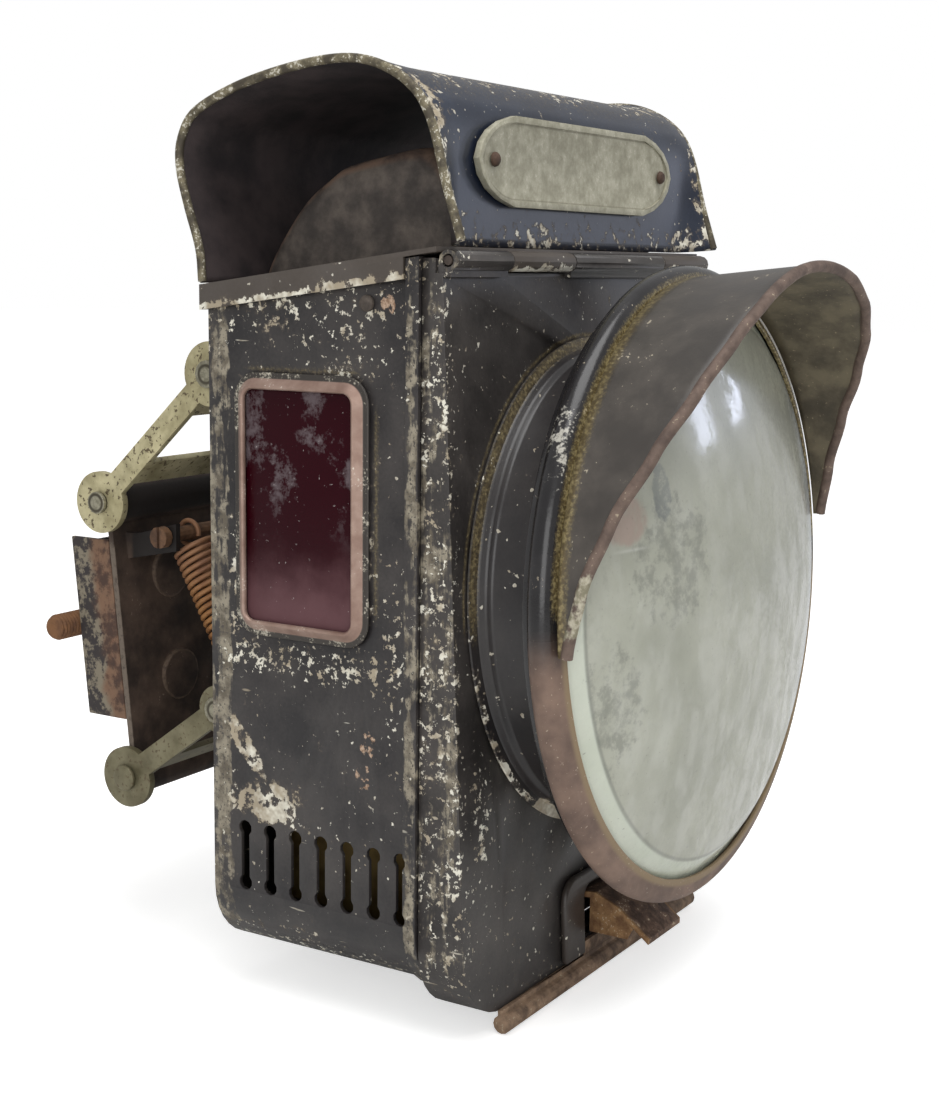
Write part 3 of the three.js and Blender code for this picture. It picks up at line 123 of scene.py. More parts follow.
class Tree:
    """The nodes of one material or of the room."""

    def __init__(self, owner):
        owner.use_nodes = True
        self.tree = owner.node_tree

    def add(self, kind, settings, inputs, out=0):
        """A new node with its settings and the values or links of its sockets."""
        node = self.tree.nodes.new(kind)
        for name, value in settings.items():
            setattr(node, name, value)
        for name, value in inputs.items():
            self.feed(node.inputs[name], value)
        return Wire(self, node.outputs[out])

    def feed(self, socket, value):
        if isinstance(value, Wire):
            self.tree.links.new(value.socket, socket)
        else:
            socket.default_value = value


room = bpy.data.worlds.new("room")
bpy.context.scene.world = room
air = Tree(room)
walls = room.node_tree.nodes["Background"].inputs
room_light = 0.55
seen = air.add("ShaderNodeLightPath", {}, {}, "Is Camera Ray")
seen = seen.most(air.add("ShaderNodeLightPath", {}, {}, "Is Transmission Ray"))
air.feed(walls["Strength"], seen * (1 - room_light) + room_light)
air.feed(walls["Color"], (1, 1, 1, 1))

# The case: one sheet of steel wrapped in a U with its back, stoved black inside and out. Its front edge
# has a raised bead, the air slots are punched low on both sides, and a stub of a foot is riveted below. A
# thin dark strip under the front edge of the floor stands in for shade: it closes the gap behind the catch,
# so that the gap shows dark.
class Finish(Tree):
    """One node material, with its object coordinates in millimetres."""

    def __init__(self, name):
        self.material = bpy.data.materials.new(name)
        super().__init__(self.material)
        self.shader = self.tree.nodes["Principled BSDF"]
        place = self.add("ShaderNodeTexCoord", {}, {}, "Object")
        self.place = self.add("ShaderNodeVectorMath", {"operation": "SCALE"}, {0: place, "Scale": 1000})
        self.x, self.y, self.z = (self.add("ShaderNodeSeparateXYZ", {}, {0: self.place}, k) for k in range(3))

    def aside(self):
        """How far a point is from the lamp's middle, to either side."""
        return self.x.apply("ABSOLUTE")

    def noise(self, size, detail=2.0, rough=0.5, shift=0.0, stretch=(1, 1, 1)):
        """Noise whose blobs are about a size in millimetres."""
        moved = self.add("ShaderNodeMapping", {}, {"Vector": self.place, "Location": (shift, shift, shift),
                                                   "Scale": stretch})
        sockets = {"Vector": moved, "Scale": 1 / size, "Detail": detail, "Roughness": rough}
        return self.add("ShaderNodeTexNoise", {}, sockets)

    def blend(self, mask, low, high):
        """The low colour where the mask is 0 and the high one where it is 1."""
        sockets = {0: mask}
        sockets.update({k: (*c, 1) if isinstance(c, tuple) else c for k, c in ((6, low), (7, high))})
        return self.add("ShaderNodeMix", {"data_type": "RGBA"}, sockets, 2)

    def dusted(self, colour, grit, where, low=(0.13, 0.095, 0.04), high=(0.33, 0.265, 0.125)):
        """A colour with yellow dust caked on it where a mask says, and the mask of that dust."""
        caked = (where * 0.7 + self.noise(0.5, 4, 0.7, 83) * 0.6).over(0.82, 0.2)
        return self.blend(caked * 0.85, colour, self.blend(grit.over(0.52, 0.1), low, high)), caked

    def spot(self, across, up, wide, tall):
        """1 inside an oval given as (value, middle) pairs across and up, fading at its edge."""
        far = [(value - middle) * (1 / half) for (value, middle), half in ((across, wide), (up, tall))]
        return 1 - (far[0] * far[0] + far[1] * far[1]).over(1, 0.5)

    def set(self, relief=None, depth=0.05, **sockets):
        """Feeds the shader's sockets; relief is a height map that is so many millimetres deep."""
        for name, value in sockets.items():
            socket = self.shader.inputs[name.replace("_", " ")]
            self.feed(socket, (*value, 1) if isinstance(value, tuple) else value)
        if relief is not None:
            bump = self.add("ShaderNodeBump", {}, {"Height": relief, "Distance": depth / 1000})
            self.feed(self.shader.inputs["Normal"], bump)
        return self.material


def enamel(name, wear=None, dust=None, rub=None, rust=None, spray=None, chip=0.66, coat=(0.017, 0.015, 0.016),
           bloom=(0.12, 0.106, 0.097), haze=0.6, gloss=0.36, scratched=True):
    """Old black stoving enamel: hazy, scratched, chipped to pale primer and rubbed to drab metal. Wear and
    spray make the masks of large and small losses, and rub, rust and dust those of bare metal, scabs of
    rust and dust."""
    f = Finish(name)
    patches = f.noise(14, 3, 0.55)
    flakes = f.noise(2.4, 5, 0.62, 31)
    grit = f.noise(0.7, 3, 0.6, 57)
    edge = flakes * 0.62 + patches * 0.22 + grit * 0.16
    if wear:
        edge = edge + wear(f) * 0.2
    flecks = f.noise(1.7, 2, 0.5, 123) + patches * 0.14
    chips = edge.over(chip, 0.012).most(grit.over(0.735, 0.01) * 0.7).most(flecks.over(0.785, 0.012) * 0.8)
    if spray:
        chips = chips.most((f.noise(1.5, 5, 0.66, 140) + spray(f) * 0.16 + patches * 0.12).over(0.74, 0.012))
    if scratched:
        chips = chips.most(f.noise(1.3, 3, 0.5, 77, (1, 0.1, 0.9)).over(0.73, 0.015) * 0.6)
    rim = edge.over(chip - 0.035, 0.02)
    black = f.blend((patches * 1.6 + grit * 0.5 - 0.75) * haze, coat, bloom)
    bare = f.blend(f.noise(5, 3, 0.6, 11).over(0.5, 0.12), (0.8, 0.77, 0.66), (0.38, 0.32, 0.23))
    colour = f.blend(rim * 0.55, black, (0.13, 0.105, 0.08))
    rough = gloss + patches * 0.12 + rim * 0.25
    if rub:
        streaks = f.noise(2.6, 5, 0.65, 91, (1, 1, 0.16))
        bared = (rub(f) * 0.3 + streaks * 0.7 + flakes * 0.4).over(0.83, 0.04)
        drab = f.blend(f.noise(3, 4, 0.6, 45).over(0.5, 0.12), (0.12, 0.1, 0.072), (0.3, 0.265, 0.2))
        colour = f.blend(bared, colour, f.blend(grit.over(0.6, 0.04), drab, (0.07, 0.06, 0.05)))
        rough = rough + bared * 0.15
    if rust:
        scabs = (rust(f) * 0.36 + f.noise(2, 4, 0.6, 203) * 0.9).over(0.83, 0.03)
        colour = f.blend(scabs, colour, f.blend(grit.over(0.5, 0.1), (0.25, 0.15, 0.09), (0.5, 0.36, 0.26)))
    colour = f.blend(chips, colour, bare)
    relief = (1 - chips) + grit * 0.25
    if dust:
        colour, grime = f.dusted(colour, grit, dust(f), (0.13, 0.095, 0.042), (0.32, 0.255, 0.125))
        rough = rough + grime * 0.3
        relief = relief + grime * 0.3
    return f.set(relief, 0.06, Base_Color=colour, Roughness=rough)


def round_off(bm, edges, width, steps):
    """Rounds edges by a width in millimetres."""
    bmesh.ops.bevel(bm, geom=edges, offset=width / 1000, offset_type="OFFSET", affect="EDGES",
                    segments=steps, profile=0.5, material=-1, clamp_overlap=True)


def dress(node, body, finish, width, steps=2, shape=None):
    """A finished copy of a node of the frame, with its sharp edges rounded by a width in millimetres. A
    shape, where one is given, works on the copy's mesh first."""
    bm = bmesh.new()
    bm.from_mesh(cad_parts[node].data)
    bmesh.ops.remove_doubles(bm, verts=bm.verts, dist=2e-6)
    bmesh.ops.dissolve_limit(bm, angle_limit=math.radians(1), verts=bm.verts, edges=bm.edges)
    if shape:
        shape(bm)
    sharp = [e for e in bm.edges if e.is_manifold and e.calc_face_angle(0) > math.radians(25)]
    round_off(bm, sharp, width, steps)
    show(node + "_dressed", bm, body, finish, [node], 40)


def show(name, bm, body, finish, nodes, keen):
    """Turns a bmesh into a piece of the lamp that stands for nodes of the frame. Edges that turn by more
    than the keen angle, in degrees, stay sharp."""
    mesh = bpy.data.meshes.new(name)
    bm.to_mesh(mesh)
    bm.free()
    mesh.materials.clear()
    mesh.materials.append(finish)
    mesh.shade_smooth()
    mesh.set_sharp_from_angle(angle=math.radians(keen))
    piece = bpy.data.objects.new(name, mesh)
    bpy.context.scene.collection.objects.link(piece)
    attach(piece, body)
    if nodes:
        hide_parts(*nodes)
    return piece


def paint(finish, *nodes):
    """Gives nodes of the frame a finish and leaves their shape as it is."""
    for node in nodes:
        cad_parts[node].data.materials[0] = finish


window_y, window_z = 3.15, 99.6


def case_wear(f):
    """Wear at the foot, round the window and along the top, and bare patches on the left side."""
    foot = 1 - f.z.over(16, 8)
    sill = f.z.over(126, 10)
    window = f.y.near(window_y, 18, 1.5) * f.z.near(window_z, 28, 1.5)
    along, across = (f.y * a + f.z * b for a, b in ((0.62, 0.785), (0.785, -0.62)))
    loss = f.spot((along, 50.9), (across, -18.3), 8, 2.3).most(f.spot((f.y, 12.8), (f.z, 41), 9.5, 4.6))
    nicks = f.spot((f.y, 11), (f.z, 136.5), 6, 6)
    wear = (foot * 0.3).most(window * 0.3).most(sill * 0.1)
    left = 1 - f.x.over(0, 1)
    return wear.most(loss * left * 0.85).most(nicks * left * 0.6)


def case_spray(f):
    """Small losses along a band under the window, over its corner and beside the front bead."""
    under = f.y.near(window_y, 20, 4) * f.z.near(70.2, 3, 4)
    front = f.y.near(-17.5, 3, 2) * f.z.near(72, 14, 14) * 0.7
    rear = f.y.near(19.5, 1.5, 2) * f.z.near(80, 12, 8)
    low = f.y.near(0, 22, 3) * f.z.near(10, 4, 4) * 0.6
    return under.most(front).most(rear).most(low).most(f.z.over(128, 6) * 0.5)


def case_rub(f):
    """Bare metal down the back corners and along the front bead."""
    corner = f.y.over(20.2, 1.2) * f.aside().over(50.5, 1.2)
    return corner.most(f.y.near(-21.8, 1.6, 0.9) * 0.95)


def case_rust(f):
    """Three scabs of rust behind the front bead, on the left side alone."""
    low = f.spot((f.y, -11.9), (f.z, 56), 2, 3).most(f.spot((f.y, -10.6), (f.z, 49.6), 2, 3.2))
    return low.most(f.spot((f.y, -16.2), (f.z, 138.2), 1.8, 2.2)) * (1 - f.x.over(0, 1))


def case_dust(f):
    """Dust along the window frame's top and down its front side."""
    top = f.z.near(125.6, 0.8, 2.2) * f.y.near(window_y, 15, 4)
    front = f.y.near(-13.6, 0.8, 1.8) * f.z.near(window_z, 22, 6)
    return top.most(front) * 0.9


case_finish = enamel("case_enamel", case_wear, case_dust, case_rub, case_rust, case_spray)
dress("case_shell", "lamp_body", case_finish, 0.25)
# The strip stands in for shade: a dark sheet that keeps light out of the gap behind the catch.
strip = bmesh.new()
bmesh.ops.create_cube(strip, size=0.001)
bmesh.ops.scale(strip, verts=strip.verts, vec=(80, 0.8, 2.6))
round_off(strip, strip.edges[:], 0.25, 2)
bmesh.ops.translate(strip, verts=strip.verts, vec=(0, -0.02265, 0.0059))
show("case_floor_shade_strip", strip, "lamp_body", case_finish, [], 40)
paint(enamel("rear_foot_enamel"), "rear_foot")

# The cap tray: a deck with a short skirt that hangs outside the case and slopes down to the back. Steel,
# enamelled black, rubbed along the skirt's lower edge; its front lip carries the fixed hinge knuckles.
deck_slope = 0.1365


def tray_wear(f):
    """Wear along the skirt's lower edge, which slopes as the deck does."""
    return (f.z + f.y * deck_slope).near(139.8, 1.7, 1.2)


def rusted(name, light=(0.24, 0.13, 0.085), dark=(0.06, 0.032, 0.024), rub=0.72, seed=0):
    """Rusted steel with darker scale and rubbed bright spots."""
    f = Finish(name)
    scale = f.noise(4.5, 6, 0.65, 20 + seed)
    grit = f.noise(0.6, 3, 0.6, 9 + seed)
    colour = f.blend(scale.over(0.5, 0.16), dark, light)
    colour = f.blend((grit * 0.5 + scale * 0.5).over(rub, 0.02), colour, (0.42, 0.36, 0.26))
    rough = 0.62 + grit * 0.3
    return f.set(scale * 0.6 + grit * 0.5, 0.12, Base_Color=colour, Roughness=rough, Metallic=0.25)


tray_finish = enamel("tray_enamel", tray_wear, coat=(0.06, 0.047, 0.037), gloss=0.45)
dress("cap_tray", "lamp_body", tray_finish, 0.25)
hinge_pin_finish = rusted("hinge_pin_rust", (0.07, 0.052, 0.042), (0.03, 0.023, 0.019))
dress("hinge_pin", "lamp_body", hinge_pin_finish, 0.2)

# The hood: an arched steel sheet open at both ends, flared at the rims, which are folded over a wire. The
# outside is enamelled; the rims are rubbed down to drab metal and the inside is sooty brown.
deck_top, deck_middle, sheet_wall = 145.2, -0.65, 0.9


def over_deck(shares, depth, height, middle):
    """Points of a smooth line over the sloping deck, in metres. The line goes through shares of a depth and
    a height, which are in millimetres."""
    knots = [Vector(share) for share in shares]
    knots = [2 * knots[0] - knots[1], *knots, 2 * knots[-1] - knots[-2]]
    line = []
    for p, q, r, s in zip(knots, knots[1:], knots[2:], knots[3:]):
        bend, twist = 2 * p - 5 * q + 4 * r - s, 3 * q - p - 3 * r + s
        for t in (step / 6 for step in range(6)):
            line.append((2 * q + (r - p) * t + bend * t ** 2 + twist * t ** 3) / 2)
    line.append(knots[-2])
    spread = [(middle + a * depth, b * height) for a, b in line]
    return [Vector((0, y + deck_middle, deck_top - deck_slope * y + z)) / 1000 for y, z in spread]


def bridge(bm, rows):
    """Spans the gaps between rows of vertices with faces."""
    for low, high in zip(rows, rows[1:]):
        pairs = [*zip(low, low[1:]), *zip(high, high[1:])]
        edges = [bm.edges.get(pair) or bm.edges.new(pair) for pair in pairs]
        bmesh.ops.bridge_loops(bm, edges=edges)


hood_size = (28.5, 35.5, 2.5)
arch = over_deck([(0.825, 0), (0.895, 0.195), (0.979, 0.444), (1.014, 0.659), (0.972, 0.808), (0.846, 0.904),
                  (0.404, 0.986), (-0.088, 0.994), (-0.439, 0.966), (-0.719, 0.89), (-0.881, 0.775),
                  (-0.958, 0.64), (-0.972, 0.273), (-0.979, 0)], *hood_size)
flared = over_deck([(0.898, 0), (0.923, 0.186), (1.021, 0.437), (1.084, 0.656), (1.056, 0.81), (0.923, 0.927),
                    (0.54, 1.011), (0.053, 1.041), (-0.351, 1.014), (-0.639, 0.921), (-0.86, 0.772),
                    (-0.982, 0.586), (-1.084, 0.287), (-1.196, 0)], *hood_size)
hood_half, flare_start = 53.6, 45.5
hood = bmesh.new()
rows = []
for x in [-53.6, -52.4, -51.2, -50, -48.6, -47, -45, 0, 45, 47, 48.6, 50, 51.2, 52.4, 53.6]:
    share = max(0, (abs(x) - flare_start) / (hood_half - flare_start)) ** 1.6
    rows.append([hood.verts.new(Vector((x / 1000, 0, 0)) + a.lerp(b, share)) for a, b in zip(arch, flared)])
bridge(hood, rows)
bmesh.ops.recalc_face_normals(hood, faces=hood.faces)


def hood_wear(f):
    """Wear towards the rims, along the crown and at the foot."""
    ends = f.aside().over(50.5, 2.5)
    crown = f.z.over(177, 3)
    foot = 1 - (f.z + f.y * deck_slope).over(150, 4)
    return (ends * 0.75).most(crown * 0.5).most(foot * 0.6)


def hood_dust(f):
    """Dust on the front of the crown."""
    return f.z.over(172, 6) * (1 - f.y.over(-8, 6)) * 0.55


def hood_soot():
    """The sooty brown inside of the hood."""
    f = Finish("hood_soot")
    patches = f.noise(9, 5, 0.6, 66)
    colour = f.blend(patches.over(0.5, 0.2), (0.016, 0.012, 0.013), (0.05, 0.036, 0.036))
    return f.set(f.noise(0.8, 4, 0.6, 12), 0.06, Base_Color=colour, Roughness=0.75)


def thicken(piece, inside=None):
    """Gives a sheet its wall, inwards, with a finish of its own inside where one is given."""
    wall = piece.modifiers.new("wall", "SOLIDIFY")
    wall.thickness = sheet_wall / 1000
    wall.offset = -1
    if inside:
        piece.data.materials.append(inside)
        wall.material_offset = 1


hood_finish = enamel("hood_enamel", hood_wear, hood_dust, coat=(0.01, 0.0145, 0.029),
                     bloom=(0.066, 0.082, 0.12), haze=0.4, gloss=0.3)
thicken(show("hood_sheet", hood, "lamp_body", hood_finish, ["hood"], 60), hood_soot())


def add_wire(bm, places, radius, steps=3):
    """Adds a round wire through places to a bmesh, with its radius in millimetres."""
    curve = bpy.data.curves.new("wire", "CURVE")
    curve.dimensions = "3D"
    curve.bevel_depth = radius / 1000
    curve.bevel_resolution = steps
    curve.use_fill_caps = True
    spline = curve.splines.new("POLY")
    spline.points.add(len(places) - 1)
    for point, place in zip(spline.points, places):
        point.co = (*place, 1)
    holder = bpy.data.objects.new("wire", curve)
    bm.from_mesh(bpy.data.meshes.new_from_object(holder))
    bpy.data.objects.remove(holder)


def rim_metal():
    """Enamel rubbed down to drab metal, with bright grazes."""
    f = Finish("rim_metal")
    scale = f.noise(3.5, 5, 0.62, 5)
    grit = f.noise(0.6, 3, 0.6, 9)
    colour = f.blend(scale.over(0.5, 0.12), (0.07, 0.058, 0.04), (0.22, 0.19, 0.12))
    colour = f.blend((scale * 0.5 + grit * 0.5).over(0.565, 0.02), colour, (0.6, 0.57, 0.48))
    return f.set(scale + grit * 0.4, 0.06, Base_Color=colour, Roughness=0.5 + grit * 0.3, Metallic=0.3)


rims = bmesh.new()
hood_core = Vector((0, 0.0018, 0.155))
for side in (-1, 1):
    end = Vector((side * hood_half / 1000, 0, 0))
    add_wire(rims, [end + place + (hood_core - place).normalized() * 0.0007 for place in flared], 0.85)
show("hood_rims", rims, "lamp_body", rim_metal(), [], 60)

# The inner dome: a low arched shell with rounded shoulders that stands over the vent and keeps rain out.
# It is pressed from bare steel, which has rusted brown on its band and darker on its ends.
dome_shares = [(1, 0), (0.992, 0.115), (0.843, 0.388), (0.607, 0.706), (0.355, 0.888), (0.207, 0.962),
               (-0.079, 0.99), (-0.533, 0.99), (-0.76, 0.8), (-0.905, 0.43), (-0.967, 0.15), (-0.983, 0)]
dome_depth, dome_height, dome_middle = 24.2, 20.2, 0.4
shoulder = [(35, 0), (36.8, 0.4), (38.2, 1.3), (39.2, 2.9), (39.5, 4.5)]
dome = bmesh.new()
rows = []
for x, inset in [(-x, inset) for x, inset in reversed(shoulder)] + [(0, 0)] + shoulder:
    line = over_deck(dome_shares, dome_depth - inset, dome_height - inset, dome_middle)
    rows.append([dome.verts.new(Vector((x / 1000, 0, 0)) + place) for place in line])
bridge(dome, rows)
for row in (rows[0], rows[-1]):
    bmesh.ops.contextual_create(dome, geom=row)
bmesh.ops.recalc_face_normals(dome, faces=dome.faces)


def dome_steel():
    """Rusted steel, browner on the band than on the ends."""
    f = Finish("dome_steel")
    scale = f.noise(6, 6, 0.62, 3)
    grit = f.noise(0.7, 3, 0.6, 14)
    band = f.blend(scale.over(0.5, 0.15), (0.07, 0.05, 0.042), (0.19, 0.125, 0.09))
    ends = f.blend(scale.over(0.55, 0.2), (0.055, 0.046, 0.041), (0.15, 0.125, 0.105))
    colour = f.blend(f.aside().over(38.7, 0.4), band, ends)
    return f.set(scale * 0.6 + grit * 0.4, 0.1, Base_Color=colour, Roughness=0.55 + grit * 0.3, Metallic=0.3)


thicken(show("inner_dome_shell", dome, "lamp_body", dome_steel(), ["inner_dome"], 50))

# The side windows: a bevelled pressed frame, once copper plated, holds a coloured pane on each side. The
# left pane is ruby and the right one green, and both are hazed with fine dust.
def window_frame_metal():
    """Worn copper plate on the bevel and pale worn steel on the flange."""
    f = Finish("window_frame_metal")
    scale = f.noise(6, 5, 0.6, 41)
    grit = f.noise(0.5, 3, 0.6, 17)
    bevel = f.blend(scale.over(0.5, 0.2), (0.26, 0.165, 0.13), (0.42, 0.3, 0.245))
    flange = f.blend((scale * 0.6 + grit * 0.4).over(0.55, 0.03), (0.06, 0.053, 0.047), (0.4, 0.37, 0.3))
    colour = f.blend(1 - f.aside().over(54.5, 0.05), bevel, flange)
    colour = f.blend((scale * 0.5 + grit * 0.5).over(0.61, 0.02), colour, (0.7, 0.64, 0.55))
    return f.set(scale * 0.3 + grit * 0.4, 0.03, Base_Color=colour, Roughness=0.36 + grit * 0.2, Metallic=0.5)


def pane(name, deep, dusk, haze):
    """Coloured glass that is dark above, dusty below, and blotched and flecked with pale dirt."""
    f = Finish(name)
    clouds = f.noise(8, 5, 0.62, 61)
    dots = f.noise(0.9, 4, 0.7, 29)
    low = 1 - f.z.over(88, 13)
    colour = f.blend((low * 0.75 + clouds * 0.5 - 0.3).over(0.4, 0.35), deep, dusk)
    blotch = (clouds * 0.8 + dots * 0.2).over(0.575, 0.05) * f.z.over(98, 8) * 0.55
    colour = f.blend(blotch, colour, haze)
    colour = f.blend(dots.over(0.7, 0.02) * 0.7, colour, (0.6, 0.56, 0.54))
    return f.set(dots, 0.01, Base_Color=colour, Roughness=0.25 + low * 0.2 + blotch * 0.3,
                 Specular_IOR_Level=0.12)


window_metal = window_frame_metal()
side_rivet_metal = rusted("side_rivet_metal", (0.13, 0.105, 0.085), (0.05, 0.04, 0.034))
panes = {"left": pane("ruby_glass_dusty", (0.024, 0.001, 0.004), (0.135, 0.065, 0.072), (0.2, 0.17, 0.18)),
         "right": pane("green_glass_dusty", (0.002, 0.022, 0.012), (0.05, 0.11, 0.08), (0.18, 0.2, 0.18))}
for side, slot in (("left", "ruby_glass"), ("right", "green_glass")):
    dress("side_frame_" + side, "lamp_body", window_metal, 0.3, 3)
    dress("side_glass_" + side, "lamp_body", panes[side], 0.3)
    dress("side_rivet_" + side, "lamp_body", side_rivet_metal, 0.1)

# The nameplate: a bare brass plate with a raised border, tarnished to drab grey, with a dark line of painted
# shade inside the border. Two rusty steel rivets hold it on the hood's front.
plate_x, plate_z = -1.5, 1000 * sum(corner[2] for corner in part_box("nameplate")) / 2


def nameplate_metal():
    """Tarnished brass; the dark line of painted shade inside the raised border has straight sides and oval
    ends.
    """
    f = Finish("nameplate_metal")
    scale = f.noise(3, 6, 0.7, 71)
    grit = f.noise(0.45, 3, 0.6, 23)
    colour = f.blend(scale.over(0.5, 0.2), (0.3, 0.285, 0.21), (0.47, 0.45, 0.35))
    colour = f.blend((scale * 0.5 + grit * 0.5).over(0.6, 0.03) * 0.6, colour, (0.62, 0.6, 0.5))
    half_height, half_straight, oval_end = 8.3, 27, 13
    past_straight = ((f.x - plate_x).apply("ABSOLUTE") - half_straight).most(0) * (1 / oval_end)
    inside = past_straight.radius_with((f.z - plate_z) * (1 / half_height))
    # The dark line is painted shade along the inside of the raised border.
    colour = f.blend(inside.near(0.83, 0.012, 0.02) * 0.55, colour, (0.13, 0.118, 0.08))
    return f.set(scale * 0.4 + grit * 0.4, 0.04, Base_Color=colour, Roughness=0.5 + grit * 0.25, Metallic=0.3)


dress("nameplate", "lamp_body", nameplate_metal(), 0.25)
plate_rivet_rust = rusted("plate_rivet_rust", (0.11, 0.065, 0.045), (0.035, 0.022, 0.017))
for side in ("left", "right"):
    dress("plate_rivet_" + side, "lamp_body", plate_rivet_rust, 0.1)

# The door: a shallow steel pan, enamelled black, hinged along its top edge. A rolled foot bead runs along
# its lower edge, and a raised frame is riveted round the catch's opening.
barrel_y, barrel_z = -30.499, 82.0


def door_wear(f):
    """Wear at the foot and down both sides."""
    foot = 1 - f.z.over(12, 8)
    return (foot * 0.35).most(f.aside().over(52.2, 0.8) * 0.3)


def door_spray(f):
    """Small losses down both edges and a field of them beside the barrel's lower half."""
    return (f.aside().over(51, 2) * 0.55).most(f.aside().near(46, 3, 3) * f.z.near(44, 12, 8) * 0.9)


def door_rub(f):
    """Bare metal on the folds."""
    return f.aside().over(52.9, 0.5) * 0.75


def door_dust(f):
    """Dust in the corner round the upper half of the barrel."""
    return f.x.radius_with(f.z - barrel_z).near(49.8, 0.7, 1.4) * f.z.over(75, 8) * 0.95


def fold_sides(bm):
    """Makes the wider round where the pan's face turns into its two sides."""
    middle = Vector((0, 0, 0.075))
    folds = set()
    for front in (face for face in bm.faces if face.normal.y < -0.9):
        for edge in front.edges:
            beside = [face for face in edge.link_faces if face.normal.y > -0.9]
            turned_out = any(face.normal.dot(edge.verts[0].co - middle) > 0 for face in beside)
            if turned_out and all(abs(vert.co.x) > 0.03 for vert in edge.verts):
                folds.add(edge)
    round_off(bm, list(folds), 1.7, 5)


# The door's enamel is lighter than the case's, through its coat and its stronger haze: partly bloom, and
# partly painted light that stands in for light from the front.
door_finish = enamel("door_enamel", door_wear, door_dust, door_rub, spray=door_spray,
                     coat=(0.024, 0.021, 0.02), haze=0.75)
dress("door_pan", "door", door_finish, 0.35, 3, fold_sides)
foot_bead_finish = rusted("foot_bead_rust", (0.3, 0.2, 0.13), (0.09, 0.058, 0.04), 0.62, 40)
dress("foot_bead", "door", foot_bead_finish, 0.35)
catch_frame_finish = enamel("catch_frame_enamel", chip=0.63, coat=(0.03, 0.022, 0.018))
dress("catch_frame", "door", catch_frame_finish, 0.6, 3)

# The barrel, the bezel and the lens: round pieces on one axis, which stands square on the door. The barrel is
# spun steel, glossy black; the bezel is spun too, with a fat black bead and a rusty cone; and the lens is a
# hazy bull's eye of pressed glass that the bezel holds.
door_lean = math.atan(0.046)


def spun(places, axis, steps, closed=False):
    """Spins a line of places, in metres, round an axis through the origin. A closed line is the whole
    section of a ring."""
    bm = bmesh.new()
    verts = [bm.verts.new(place) for place in places]
    edges = [bm.edges.new(pair) for pair in zip(verts, verts[1:])]
    if closed:
        edges.append(bm.edges.new((verts[-1], verts[0])))
    bmesh.ops.spin(bm, geom=verts + edges, axis=axis, cent=(0, 0, 0), angle=math.tau, steps=steps,
                   use_merge=True)
    bmesh.ops.remove_doubles(bm, verts=bm.verts, dist=1e-6)
    bmesh.ops.recalc_face_normals(bm, faces=bm.faces)
    return bm


def onto_door(bm):
    """Leans a mesh with the door and moves it from the origin to where the barrel's axis meets the door."""
    lean = Matrix.Rotation(-door_lean, 4, "X")
    bm.transform(Matrix.Translation((0, barrel_y / 1000, barrel_z / 1000)) @ lean)
    return bm


def spun_on_door(outline, steps, closed=True):
    """Spins points given as (radius, distance from the door) in millimetres round the barrel's axis."""
    return onto_door(spun([Vector((r, -d, 0)) / 1000 for r, d in outline], (0, 1, 0), steps, closed))


def barrel_masks(f):
    """How far a point is from the barrel's axis, out from the door and above the axis, in millimetres."""
    y = f.y - barrel_y
    z = f.z - barrel_z
    out = z * math.sin(door_lean) - y * math.cos(door_lean)
    tall = z * math.cos(door_lean) + y * math.sin(door_lean)
    return f.x.radius_with(tall), out, tall


def barrel_dust(f):
    """Dust on the upper half of the foot that meets the door."""
    _, out, tall = barrel_masks(f)
    return out.near(1.1, 0.7, 1.2) * tall.over(-8, 10) * 0.9


def barrel_wear(f):
    """Wear on the foot's edge and round its lower half, with a bare crescent at the lower left."""
    away, _, tall = barrel_masks(f)
    lower = away.near(48.9, 0.8, 0.25) * (1 - tall.over(-8, 8))
    crescent = f.spot((f.x, -22), (tall, -43), 7, 4) * away.over(47.2, 0.4)
    return (away.near(49.3, 0.35, 0.25) * 0.45).most(lower * 0.95).most(crescent * 1.6)


barrel_outline = [(45.1, 0.3), (49.2, 0.3), (49.4, 0.5), (49.3, 0.85), (48.3, 1.15), (47.5, 1.4),
                  (47.2, 1.9), (47.15, 2.7), (46.8, 3.3), (46.3, 3.6), (46.05, 4.2), (46.0, 16.4),
                  (46.2, 16.9), (46.8, 17.3), (58.2, 17.3), (58.7, 17.5), (58.9, 18.0), (58.9, 22.6),
                  (58.0, 22.6), (58.0, 18.2), (45.1, 18.2)]
barrel_finish = enamel("barrel_enamel", barrel_wear, barrel_dust, chip=0.7, haze=0.3, gloss=0.24,
                       scratched=False)
show("barrel_spun", spun_on_door(barrel_outline, 128), "door", barrel_finish, ["barrel"], 40)


